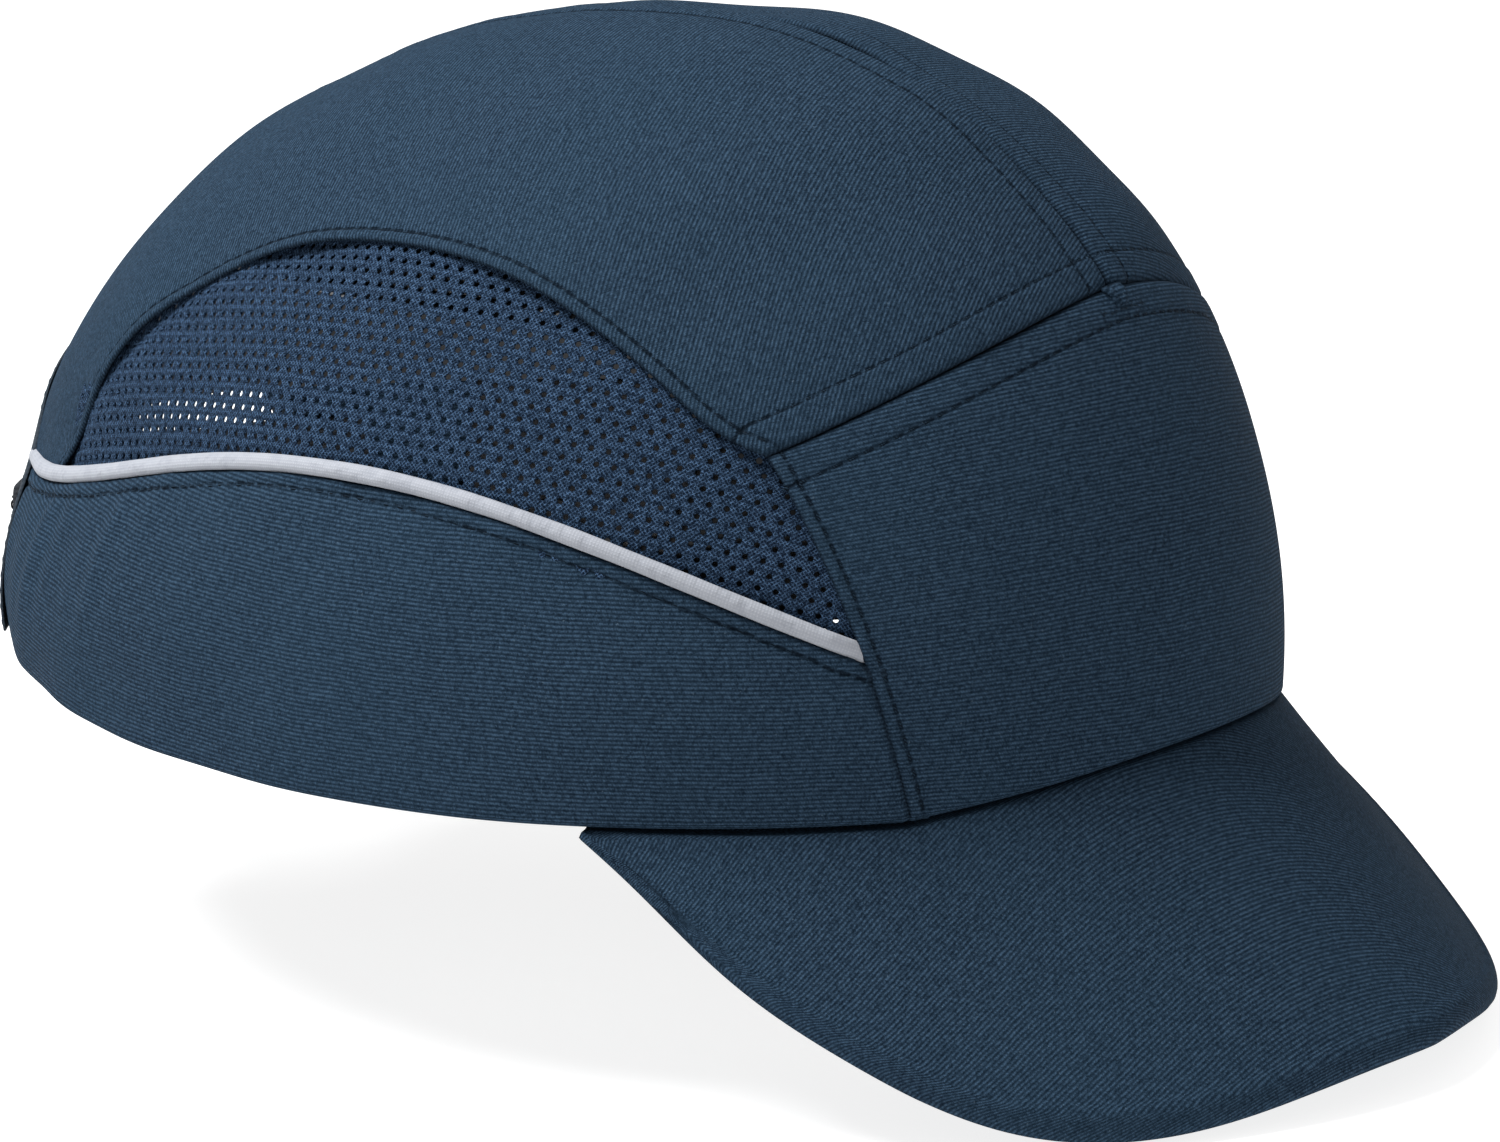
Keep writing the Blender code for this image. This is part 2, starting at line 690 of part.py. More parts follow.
arc_axis = bpy.data.objects.new("strap_adjust_axis", None)
cap.objects.link(arc_axis)
strap("elastic_webbing", WEBBING, R_TAB, STRAP_Z, elastic_cloth, arc_axis)
strap("strap_anchor", ANCHOR, (R_TAB[1] + 0.0002, R_FLAP[1]), STRAP_Z, strap_cloth, arc_axis)
strap("hook_strap", FLAP, R_FLAP, STRAP_Z, strap_cloth, arc_axis)
strap("hook_tape", HOOK_TAPE, R_HOOK, TAPE_Z, hook_plastic, arc_axis)
strap("pull_tab", PULL_TAB, (R_FLAP[0] - 0.0004, R_FLAP[1] + 0.0004), STRAP_Z, grip_rubber, arc_axis)
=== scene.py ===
import math

import bmesh
import bpy
import numpy as np
from mathutils import Matrix, Vector
from mathutils.bvhtree import BVHTree


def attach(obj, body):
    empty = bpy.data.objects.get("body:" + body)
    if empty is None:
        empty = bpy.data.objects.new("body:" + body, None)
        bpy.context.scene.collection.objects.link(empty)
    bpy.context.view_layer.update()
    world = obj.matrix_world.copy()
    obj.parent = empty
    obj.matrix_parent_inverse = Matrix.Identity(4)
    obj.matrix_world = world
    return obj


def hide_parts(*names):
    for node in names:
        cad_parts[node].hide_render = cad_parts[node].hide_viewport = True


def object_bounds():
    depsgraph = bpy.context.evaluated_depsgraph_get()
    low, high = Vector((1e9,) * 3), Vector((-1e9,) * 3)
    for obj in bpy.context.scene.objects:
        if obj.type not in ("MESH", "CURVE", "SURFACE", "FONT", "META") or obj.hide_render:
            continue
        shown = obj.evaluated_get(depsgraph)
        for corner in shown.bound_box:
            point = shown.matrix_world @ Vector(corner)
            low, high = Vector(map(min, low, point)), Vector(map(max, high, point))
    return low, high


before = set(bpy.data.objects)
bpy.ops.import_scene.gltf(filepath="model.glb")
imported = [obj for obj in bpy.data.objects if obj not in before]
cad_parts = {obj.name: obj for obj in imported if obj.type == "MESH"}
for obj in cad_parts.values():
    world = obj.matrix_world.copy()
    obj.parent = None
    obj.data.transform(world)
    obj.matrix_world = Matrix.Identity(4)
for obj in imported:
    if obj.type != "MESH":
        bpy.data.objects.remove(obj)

CAD_BOX = [list(v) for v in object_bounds()]
scene = bpy.context.scene

# ------------------------------------------------------------------ sizes shared with the CAD, metres
HALF_LENGTH, HALF_WIDTH, HEIGHT = 0.1120, 0.0902, 0.1098
REAR_BIAS, TOP_LEAN = -0.104, -0.0125  # the front half is shorter, and the top leans forward
FULLNESS = (2.01, 2.15, 2.03)  # front, rear, sides: 2 is an ellipse, more is fuller
TUCK = (-0.0085, 0.046, 0.006)  # front, rear, sides: the share the rim draws in, minus spreads
TUCK_POWER, SQUARENESS = 4.74, 0.0144
FRONT_RISE, FRONT_RISE_HALF = 0.0056, 0.0522  # the rim lifts over the visor
VISOR_SWEEP, VISOR_REACH, VISOR_TUCK = math.radians(66.2), 0.0410, -0.0008
VISOR_EDGE_POWERS, VISOR_EDGE_FRONT_Z = (1.60, 2.84), -0.0122
VISOR_EDGE_SLOPE, VISOR_CURL, VISOR_FLARE = math.tan(math.radians(27.4)), 7.84, 719.0
SWEATBAND_INSET, PASSAGE_INSET, SHELL_INSET = 0.0036, 0.0070, 0.0026
PAD_INSET, PAD_THICKNESS = 0.0055, 0.0060
ARC_CENTRE_Y = 0.0597  # the rear strap's arc
ARCH_HALF_WIDTH, ARCH_HEIGHT = 0.038, 0.044

# sizes of the visible shapes alone
ARCH_POWER = 2.3  # how square the arch's outline is, 2 being an ellipse
HEM = 0.0011  # height of the panels' lower line above the rim plane, where the cloth turns under
VISOR_ROOT_GAP = 0.0006  # from the rim down to the visor's root
PAD_GAP = 0.0002
CLOTH = 0.0007  # thickness of the twill
STITCH = 0.0026  # from one stitch to the next
TWIN_ROW, EDGE_ROW, BAND_ROW = 0.0055, 0.0022, 0.0037  # rows' distance from a seam
UNDERLAP = 0.0026  # how far the band runs on beneath the front panel's edge
THREAD_RADIUS, THREAD_SINK = 0.00023, 0.00030
TWIN_SIDES = (("left", True), ("right", False))


# ------------------------------------------------------------------ crown surface
def mixed(phi, values):
    """Front, rear and side values blended round the crown."""
    c = np.cos(phi)
    return (values[0] * np.maximum(c, 0) ** 2 + values[1] * np.maximum(-c, 0) ** 2
            + values[2] * np.sin(phi) ** 2)


def crown(phi, theta):
    """Outer face. phi 0 is the front and pi/2 the wearer's left, theta 0 the rim."""
    phi, theta = np.broadcast_arrays(np.asarray(phi, float), np.asarray(theta, float))
    power = 2 / mixed(phi, FULLNESS)
    up = np.clip(theta, 0, math.pi / 2)
    lift = np.where(theta >= 0, np.sin(up) ** power, theta)
    spread = np.where(theta >= 0, np.abs(np.cos(up)) ** power, 1.0)
    spread = spread * (1 - mixed(phi, TUCK) * (1 - lift) ** TUCK_POWER)
    spread = spread * (1 + SQUARENESS * np.cos(4 * phi))
    length = HALF_LENGTH * (1 + REAR_BIAS * np.cos(phi))
    return np.stack([HALF_WIDTH * np.sin(phi) * spread,
                     -length * np.cos(phi) * spread + TOP_LEAN * lift, HEIGHT * lift], -1)


def unit(v):
    return v / np.maximum(np.linalg.norm(v, axis=-1, keepdims=True), 1e-12)


def normal(phi, theta):
    """The crown's outward way at its angles."""
    theta = np.minimum(theta, math.radians(89.6))
    along = crown(phi + 0.004, theta) - crown(phi - 0.004, theta)
    up = crown(phi, theta + 0.004) - crown(phi, theta - 0.004)
    return unit(np.cross(along, up))


def polar(q, lift):
    """Direction of each point, and its reach as a share of the crown's plan at the rim."""
    x = q[..., 0] / HALF_WIDTH
    y = -(q[..., 1] - TOP_LEAN * lift)
    phi = np.arctan2(x, y / HALF_LENGTH)
    for _ in range(4):
        length = HALF_LENGTH * (1 + REAR_BIAS * np.cos(phi))
        phi = np.arctan2(x, y / length)
    k = np.hypot(x, y / length)
    k = k / ((1 - mixed(phi, TUCK) * (1 - lift) ** TUCK_POWER)
             * (1 + SQUARENESS * np.cos(4 * phi)))
    return phi, k


def locate(q):
    """Crown angles of the surface point next to each point."""
    lift = np.clip(q[..., 2] / HEIGHT, 0, 1)
    phi, k = polar(q, lift)
    half = mixed(phi, FULLNESS) / 2
    theta = np.arctan2(lift ** half, k ** half)
    theta = np.where(q[..., 2] < 0, q[..., 2] / HEIGHT, theta)
    return phi, np.minimum(theta, math.radians(89.7))


def skin(q, inset=0.0):
    """The crown's face next to each point, moved in by inset, and its normals."""
    phi, theta = locate(np.asarray(q, float))
    n = normal(phi, theta)
    return crown(phi, theta) - n * np.asarray(inset)[..., None], n


def on_crown(q, inset=0.0):
    return skin(q, inset)[0]


def theta_at(phi, z):
    """The crown's steepness angle at a height."""
    return np.arcsin(np.clip(z / HEIGHT, 0, 1) ** (mixed(phi, FULLNESS) / 2))


def solve(test, low, high):
    """Where test turns positive between low and high, by halving."""
    low, high = np.array(low, float), np.array(high, float)
    for _ in range(44):
        middle = (low + high) / 2
        over = test(middle) > 0
        high, low = np.where(over, middle, high), np.where(over, low, middle)
    return (low + high) / 2


def above(x, y):
    """The crown's upper face over plan points."""
    q = np.stack([x, y, 0 * x], -1)
    lift = np.full_like(x, 0.7)
    for _ in range(40):
        phi, k = polar(q, lift)
        theta = np.arccos(np.clip(k, 0, 1) ** (mixed(phi, FULLNESS) / 2))
        lift = 0.5 * lift + 0.5 * np.sin(theta) ** (2 / mixed(phi, FULLNESS))
    return crown(phi, theta)


# ------------------------------------------------------------------ seam lines, on the wearer's left
def piping_height(y):
    """Height of the piping's seam along the side."""
    t = y / 0.1
    return 0.001 * (49.4 - 0.3 * t - 36.2 * t * t + 9.1 * t ** 3 + 8.2 * t ** 4)


def shoulder_width(y):
    """How far out the seam over the mesh panel lies."""
    t = np.clip(y, -0.082, 0.086) / 0.1
    return 0.001 * (62.1 - 13.1 * t - 4.6 * t * t + 18.6 * t ** 3 - 10.6 * t ** 4)


def front_top(x):
    """Height of the front panel's top seam."""
    return 0.0736 - 0.0180 * (np.abs(x) / 0.0603) ** 1.7


def front_side(z):
    """How far out the front panel's side seam lies."""
    t = z / 0.0556
    return 0.0522 + 0.0132 * t - 0.0050 * t * t


def travelled(curve):
    """Distance along a line to each of its points."""
    return np.concatenate([[0], np.cumsum(np.linalg.norm(np.diff(curve, axis=0), axis=1))])


def resample(curve, count_or_at):
    """Points along a line: so many, evenly, or at the given shares of its length."""
    curve = np.asarray(curve)
    run = travelled(curve)
    at = np.linspace(0, 1, count_or_at) if np.ndim(count_or_at) == 0 else count_or_at
    return np.stack([np.interp(at * run[-1], run, curve[:, i]) for i in range(3)], -1)


def length_of(curve):
    return float(np.linalg.norm(np.diff(curve, axis=0), axis=1).sum())


def along_phi(phis, z_of_y):
    """The line on the crown whose height follows z_of_y."""
    theta = solve(lambda t: crown(phis, t)[..., 2] - z_of_y(crown(phis, t)[..., 1]),
                  0 * phis, 0 * phis + 1.05)
    return crown(phis, theta)


def front_rise(x):
    """Lift of the rim over the visor."""
    return FRONT_RISE * np.clip(1 - (x / FRONT_RISE_HALF) ** 2, 0, 1)


Z_SIDE = np.linspace(HEM, 0.0556, 80)
side_phi = solve(lambda p: crown(p, theta_at(p, Z_SIDE))[..., 0] - front_side(Z_SIDE),
                 0 * Z_SIDE + 0.05, 0 * Z_SIDE + 1.5)
SEAM_SIDE = crown(side_phi, theta_at(side_phi, Z_SIDE))  # hem to corner
X_TOP = np.linspace(0, 0.0604, 90)
top_phi = solve(lambda p: crown(p, theta_at(p, front_top(X_TOP)))[..., 0] - X_TOP,
                0 * X_TOP, 0 * X_TOP + 1.5)
SEAM_TOP = crown(top_phi, theta_at(top_phi, front_top(X_TOP)))  # centre to corner
SEAM_TOP[-1] = SEAM_SIDE[-1] = (SEAM_TOP[-1] + SEAM_SIDE[-1]) / 2
CORNER = SEAM_SIDE[-1]

piping_phi = np.radians(np.linspace(40, 158, 300))
PIPE_ALL = along_phi(piping_phi, piping_height)
at_front = int(np.argmax(PIPE_ALL[:, 0] > front_side(PIPE_ALL[:, 2])))
PIPE = PIPE_ALL[at_front:]
behind = int(np.argmax((PIPE[:, 1] > 0.05) & (PIPE[:, 0] < shoulder_width(PIPE[:, 1]))))
PIPE_END = PIPE[behind]

y_line = np.linspace(CORNER[1], PIPE_END[1], 200)
x_line = shoulder_width(y_line)
ease = np.clip((y_line - y_line[0]) / 0.012, 0, 1)
x_line = x_line + (CORNER[0] - x_line[0]) * (1 - ease) ** 2
ease = np.clip((y_line[-1] - y_line) / 0.012, 0, 1)
x_line = x_line + (PIPE_END[0] - x_line[-1]) * (1 - ease) ** 2
SHOULDER = above(x_line, y_line)
SHOULDER[0], SHOULDER[-1] = CORNER, PIPE_END
SHOULDER = on_crown(SHOULDER)

turn = np.linspace(0.02, math.pi / 2, 120)
arch_x = ARCH_HALF_WIDTH * np.abs(np.cos(turn)) ** (2 / ARCH_POWER)
arch_z = np.maximum(ARCH_HEIGHT * np.sin(turn) ** (2 / ARCH_POWER), HEM)
arch_phi = solve(lambda p: arch_x - crown(p, theta_at(p, arch_z))[..., 0],
                 0 * turn + math.pi / 2, 0 * turn + math.pi)
ARCH = crown(arch_phi, theta_at(arch_phi, arch_z))  # rim to top
ARCH[-1, 0] = 0.0
meet = int(np.argmin(np.linalg.norm(ARCH[:, None] - PIPE[None], axis=2).min(axis=1)))
last = int(np.argmin(np.linalg.norm(PIPE - ARCH[meet], axis=1)))
PIPE = PIPE[:last + 1].copy()
PIPE[-1] = ARCH[meet]
centre_z = 0.06 + 0.06 * np.sin(np.linspace(0.1, math.pi, 160))
CENTRE = on_crown(np.stack([np.zeros(160), np.linspace(SEAM_TOP[0][1], ARCH[-1][1], 160), centre_z], -1))
CENTRE[:, 0] = 0.0
CENTRE[0], CENTRE[-1] = SEAM_TOP[0], ARCH[-1]


def mirror(curve):
    """The same points on the wearer's other side."""
    return curve * np.array([-1.0, 1.0, 1.0])


# ------------------------------------------------------------------ measures on the surface
def near(points, curve):
    """Distance from each point to a line, and how far along the line that is."""
    curve = np.asarray(curve)
    run = travelled(curve)
    flat = points.reshape(-1, 3)
    dist, where = np.empty(len(flat)), np.empty(len(flat))
    a, b = curve[:-1], curve[1:]
    ab = b - a
    size = np.maximum((ab ** 2).sum(1), 1e-18)
    for k in range(0, len(flat), 1500):
        p = flat[k:k + 1500]
        t = np.clip(((p[:, None] - a[None]) * ab[None]).sum(2) / size, 0, 1)
        d = np.linalg.norm(p[:, None] - a[None] - ab[None] * t[..., None], axis=2)
        best = d.argmin(1)
        rows = np.arange(len(p))
        dist[k:k + 1500] = d[rows, best]
        where[k:k + 1500] = run[best] + t[rows, best] * (run[best + 1] - run[best])
    return dist.reshape(points.shape[:-1]), where.reshape(points.shape[:-1])


def waves(p, size, seed, count=6):
    """Smooth noise between about -1 and 1, features of about size."""
    rng = np.random.default_rng(seed)
    total = np.zeros(p.shape[:-1])
    for _ in range(count):
        way = unit(rng.normal(size=3)) * (2 * math.pi / (size * rng.uniform(0.7, 1.6)))
        total = total + np.sin(p @ way + rng.uniform(0, 6.28))
    return total / math.sqrt(count) / 1.2


def step(x, low, high):
    """Rises smoothly from 0 at low to 1 at high."""
    t = np.clip((x - low) / (high - low), 0, 1)
    return t * t * (3 - 2 * t)


def ridge(d, at, width):
    return np.exp(-((d - at) / width) ** 2)


def offset_line(curve, amount):
    """The line moved sideways on the crown, to its left seen from outside."""
    curve = resample(curve, max(8, int(length_of(curve) / 0.0006)))
    n = skin(curve)[1]
    ahead = unit(np.gradient(curve, axis=0))
    return on_crown(curve + np.cross(n, ahead) * amount)


def spaced(length, fine=0.00045, coarse=0.0012, zone=0.0072, ends=(True, True)):
    """Shares of a length, close together within zone of the chosen ends."""
    at, x = [0.0], 0.0
    while x < length:
        room = min(x if ends[0] else 1, length - x if ends[1] else 1)
        size = fine + (coarse - fine) * float(step(room, zone, zone * 1.6))
        x += size
        at.append(x)
    return np.array(at) / at[-1]


def coons(bottom, top, first, final, u, v):
    """Net between four lines: bottom and top run with u, first and final with v."""
    b, t = resample(bottom, u), resample(top, u)
    f, l = resample(first, v), resample(final, v)
    U, V = u[None, :, None], v[:, None, None]
    return ((1 - V) * b[None] + V * t[None] + (1 - U) * f[:, None] + U * l[:, None]
            - (1 - U) * (1 - V) * b[0] - U * (1 - V) * b[-1]
            - (1 - U) * V * t[0] - U * V * t[-1])


class Flat:
    """Lays the crown flat round a point: metres to the right and up, seen from outside."""

    def __init__(self, middle, right):
        self.c, n = skin(np.asarray(middle, float)[None])
        self.c, self.n = self.c[0], n[0]
        right = np.asarray(right, float)
        self.r = unit(right - self.n * (right @ self.n))
        self.u = np.cross(self.n, self.r)

    def lay(self, p):
        """Flat place of points on the crown."""
        away = p - self.c
        flat = away - (away @ self.n)[..., None] * self.n
        turn = np.arccos(np.clip((skin(p)[1] @ self.n), -1, 1))
        chord = np.linalg.norm(away, axis=-1)
        arc = chord * np.where(turn > 1e-4, (turn / 2) / np.maximum(np.sin(turn / 2), 1e-6), 1)
        way = unit(flat)
        return np.stack([(way @ self.r) * arc, (way @ self.u) * arc], -1)

    def lift(self, uv):
        """Points on the crown at flat places."""
        q = self.c + uv[..., :1] * self.r + uv[..., 1:] * self.u
        for _ in range(7):
            p = on_crown(q)
            miss = uv - self.lay(p)
            q = p + miss[..., :1] * self.r + miss[..., 1:] * self.u
        return on_crown(q)


# ------------------------------------------------------------------ mesh building
def drawn_in(p):
    """The piped seam draws the crown in at the rear, and the band swells below it."""
    turn = np.degrees(np.abs(np.arctan2(p[:, 0], -p[:, 1])))
    level = p[:, 2] - piping_height(np.clip(p[:, 1], -0.1, 0.125))
    amount = 0.0026 * ridge(level, 0.003, 0.0095) - 0.0010 * ridge(level, -0.023, 0.010)
    amount = amount * step(turn, 92, 128) * (1 - step(turn, 157, 170))
    out = unit(p * np.array([1, 1, 0]))
    return p - out * amount[:, None]


# the slots of the sewn cloth and its trim, which follow the crown's drawn-in shape
SEWN = ("navy_twill", "navy_mesh", "grey_piping", "binding_tape", "sweatband_cloth")


def piece(name, verts, faces, look, slot, body="cap", nodes=(), uv=None, stitch=None, thick=0.0):
    """A finished mesh that rides on a body and stands for its CAD nodes."""
    mesh = bpy.data.meshes.new(name)
    verts = np.asarray(verts, float).reshape(-1, 3)
    if body == "cap" and slot in SEWN or slot == "shell_hdpe":
        verts = drawn_in(verts)
    mesh.from_pydata(verts.tolist(), [], [tuple(int(i) for i in f) for f in faces])
    if uv is not None:
        layer = mesh.uv_layers.new(name="cloth")
        loops = np.empty(len(mesh.loops), np.int32)
        mesh.loops.foreach_get("vertex_index", loops)
        layer.data.foreach_set("uv", np.asarray(uv, np.float32).reshape(-1, 2)[loops].ravel())
    if stitch is not None:
        at = mesh.attributes.new("stitch", "FLOAT_VECTOR", "POINT")
        at.data.foreach_set("vector", np.asarray(stitch, np.float32).reshape(-1, 3).ravel())
    mesh.materials.append(look)
    mesh.validate()
    mesh.polygons.foreach_set("use_smooth", [True] * len(mesh.polygons))
    made = bpy.data.objects.new(name, mesh)
    scene.collection.objects.link(made)
    if thick:
        solid = made.modifiers.new("cloth", "SOLIDIFY")
        solid.thickness, solid.offset, solid.use_even_offset = thick, -1.0, False
    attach(made, body)
    if nodes:
        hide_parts(*nodes)
    return made


def net_faces(rows, cols, flip=False, closed=False):
    """Quads of a net of points. closed joins the last column to the first."""
    faces = []
    for j in range(rows - 1):
        for i in range(cols - (0 if closed else 1)):
            k = (i + 1) % cols
            f = (j * cols + i, j * cols + k, (j + 1) * cols + k, (j + 1) * cols + i)
            faces.append(f[::-1] if flip else f)
    return faces


def swept_faces(rows, cols):
    """Faces of a closed section swept along, with both ends filled."""
    faces = net_faces(rows, cols, closed=True)
    return faces + [tuple(range(cols))[::-1], tuple(range((rows - 1) * cols, rows * cols))]


def tube_net(line, radius, sides=14, squash=(1.0, 1.0), taper=None, out=None):
    """Rings along a line, and closed ends. out gives the outward way at each point."""
    line = np.asarray(line)
    ahead = unit(np.gradient(line, axis=0))
    if out is None:
        out = skin(line)[1]
    across = unit(np.cross(ahead, out))
    out = np.cross(across, ahead)
    r = np.full(len(line), radius) if taper is None else radius * taper
    a = np.linspace(0, 2 * math.pi, sides, endpoint=False)
    ring = (line[:, None] + r[:, None, None] * (
        squash[0] * np.cos(a)[None, :, None] * across[:, None]
        + squash[1] * np.sin(a)[None, :, None] * out[:, None]))
    verts = ring.reshape(-1, 3)
    faces = net_faces(len(line), sides, closed=True, flip=True)
    faces += [tuple(range(sides)), tuple(range(len(verts) - 1, len(verts) - 1 - sides, -1))]
    uv = np.stack(np.broadcast_arrays(travelled(line)[:, None], a[None] * radius), -1).reshape(-1, 2)
    return verts, faces, uv


def height_on(cloths, points, normals, reach=0.004):
    """How far each point has to rise along its normal to lie on the outermost cloth."""
    rise = []
    for p, n in zip(points, normals):
        p, n = Vector(p), Vector(n)
        hits = [cloth.ray_cast(p + n * reach, -n, 2 * reach)[3] for cloth in cloths]
        hits = [h for h in hits if h is not None]
        rise.append(reach - min(hits) if hits else 0.0)
    return np.convolve(np.pad(rise, 4, mode="edge"), np.ones(9) / 9, "valid")


def stitches(name, lines, look, slot, body="cap", inset=0.0, pitch=STITCH, radius=0.00019,
             share=0.74, face=None, cloths=()):
    """Rows of separate thread stitches lying along lines of points."""
    verts, faces = [], []
    rng = np.random.default_rng(7)
    for line in lines:
        count = max(1, int(length_of(line) / pitch))
        fine = resample(line, count * 8 + 1)
        n = skin(fine)[1] if face is None else face(fine)
        if cloths:
            fine = fine + n * height_on(cloths, drawn_in(fine), n)[:, None]
        for k in range(count):
            at = np.linspace(k + (1 - share) / 2, k + (1 + share) / 2, 6) * 8
            p = np.stack([np.interp(at, np.arange(len(fine)), fine[:, i]) for i in range(3)], -1)
            q = np.stack([np.interp(at, np.arange(len(fine)), n[:, i]) for i in range(3)], -1)
            bow = np.array([-0.55, 0.35, 0.75, 0.75, 0.35, -0.55]) * radius
            side = np.cross(unit(p[-1] - p[0]), unit(q[2]))
            p = p + q * (bow - inset)[:, None] + side * rng.uniform(-0.00008, 0.00008)
            v, f, _ = tube_net(p, radius, 6, taper=np.array([0.55, 0.95, 1, 1, 0.95, 0.55]),
                               out=unit(q))
            base = sum(len(x) for x in verts)
            verts.append(v)
            faces += [tuple(i + base for i in g) for g in f]
    piece(name, np.concatenate(verts), faces, look, slot, body)


# ------------------------------------------------------------------ materials
class Look:
    """Builds a node material around one Principled shader."""

    def __init__(self, name, rough=0.8, specular=0.3, sheen=0.0, sheen_rough=0.4, **sockets):
        self.m = bpy.data.materials.new(name)
        self.m.use_nodes = True
        self.t = self.m.node_tree
        self.s = self.t.nodes["Principled BSDF"]
        self.s.inputs["Roughness"].default_value = rough
        self.s.inputs["Specular IOR Level"].default_value = specular
        self.s.inputs["Sheen Weight"].default_value = sheen
        self.s.inputs["Sheen Roughness"].default_value = sheen_rough
        for k, v in sockets.items():
            self.s.inputs[k.replace("_", " ")].default_value = v

    def node(self, kind, inputs=(), **props):
        made = self.t.nodes.new("ShaderNode" + kind)
        for k, v in props.items():
            setattr(made, k, v)
        for k, v in dict(inputs).items():
            self.put(v, made.inputs[k])
        return made

    def put(self, value, socket):
        if isinstance(value, bpy.types.Node):
            value = value.outputs[0]
        if isinstance(value, bpy.types.NodeSocket):
            self.t.links.new(value, socket)
        else:
            socket.default_value = value

    def math(self, how, a, b=0.0, c=0.0, clamp=False):
        made = self.node("Math", operation=how, use_clamp=clamp)
        for value, socket in zip((a, b, c), made.inputs):
            self.put(value, socket)
        return made.outputs[0]

    def mix(self, fac, a, b):
        made = self.node("Mix", data_type="RGBA")
        self.put(fac, made.inputs["Factor"])
        for value, socket in ((a, made.inputs[6]), (b, made.inputs[7])):
            self.put((*value, 1.0) if isinstance(value, tuple) and len(value) == 3 else value,
                     socket)
        return made.outputs[2]

    def uv(self):
        return self.node("UVMap", uv_map="cloth").outputs[0]

    def place(self):
        return self.node("TexCoord").outputs["Object"]

    def split(self, vector):
        return self.node("SeparateXYZ", {"Vector": vector}).outputs

    def cells(self, size):
        made = self.node("TexVoronoi", {"Scale": 1 / size})
        self.t.links.new(self.place(), made.inputs["Vector"])
        return made.outputs["Distance"]

    def turned(self, vector, degrees):
        made = self.node("VectorRotate", {"Vector": vector, "Angle": math.radians(degrees)},
                         rotation_type="Z_AXIS")
        return made.outputs[0]

    def noise(self, size, detail=2.0, rough=0.5):
        made = self.node("TexNoise", {"Scale": 1.0 / size, "Detail": detail, "Roughness": rough})
        self.put(self.place(), made.inputs["Vector"])
        return made.outputs["Fac"]

    def ribs(self, coordinate, pitch, wander=None, amount=0.0):
        x = self.math("MULTIPLY", coordinate, 2 * math.pi / pitch)
        if wander is not None:
            x = self.math("ADD", x, self.math("MULTIPLY", wander, amount))
        return self.math("MULTIPLY_ADD", self.math("SINE", x), 0.5, 0.5)

    def ramp(self, value, low, high):
        made = self.node("MapRange", {"From Min": low, "From Max": high},
                         interpolation_type="SMOOTHSTEP")
        self.put(value, made.inputs["Value"])
        return made.outputs[0]

    def finish(self, colour, height=None, depth=0.0001, strength=1.0, rough=None):
        """Colour, a fine relief of the given depth, and roughness."""
        self.put(colour if not isinstance(colour, tuple) else (*colour, 1.0),
                 self.s.inputs["Base Color"])
        if height is not None:
            bump = self.node("Bump", {"Height": height, "Distance": depth, "Strength": strength})
            self.t.links.new(bump.outputs[0], self.s.inputs["Normal"])
        if rough is not None:
            self.put(rough, self.s.inputs["Roughness"])
        return self.m


def stitch_shade(look, colour, height):
    """Painted shade along the rows of stitching, in the needle holes and along the seams' creases; the
    fabric's relief is drawn in along the rows.
    """
    at = look.node("Attribute", attribute_name="stitch")
    d, s, crease_shade = look.split(at.outputs["Vector"])[:3]
    line = look.math("SUBTRACT", 1.0, look.ramp(d, 0.00014, 0.00046))
    beat = look.math("FRACT", look.math("DIVIDE", s, STITCH))
    beat = look.math("ABSOLUTE", look.math("SUBTRACT", beat, 0.5))
    dash = look.math("MULTIPLY_ADD", look.ramp(beat, 0.26, 0.42), -0.85, 1.0)
    hole_shade = look.math("MULTIPLY", look.ramp(beat, 0.36, 0.47),
                     look.math("SUBTRACT", 1.0, look.ramp(d, 0.0001, 0.00035)))
    dark = look.math("MULTIPLY", line, dash)
    # painted shade of each stitch's groove, darkest under the stitch
    colour = look.mix(look.math("MULTIPLY", dark, 0.80), colour, (0.0012, 0.0030, 0.0060))
    # painted shade in the needle holes at the ends of each stitch
    colour = look.mix(look.math("MULTIPLY", hole_shade, 0.3), colour, (0.002, 0.004, 0.008))
    # painted shade along the seams' creases, under the piping and under the front panel's edge
    colour = look.mix(look.math("MULTIPLY", crease_shade, 0.75), colour, (0.004, 0.007, 0.012))
    height = look.math("SUBTRACT", height, look.math("MULTIPLY", dark, 1.6))
    return colour, height


# ends of the twill's tone: painted shade in the valleys between ribs, and painted highlight on the ribs
TWILL_DARK, TWILL_LIGHT = (0.0020, 0.0062, 0.0130), (0.0395, 0.0740, 0.1200)
TWILL_PITCH = 0.00067  # rib to rib


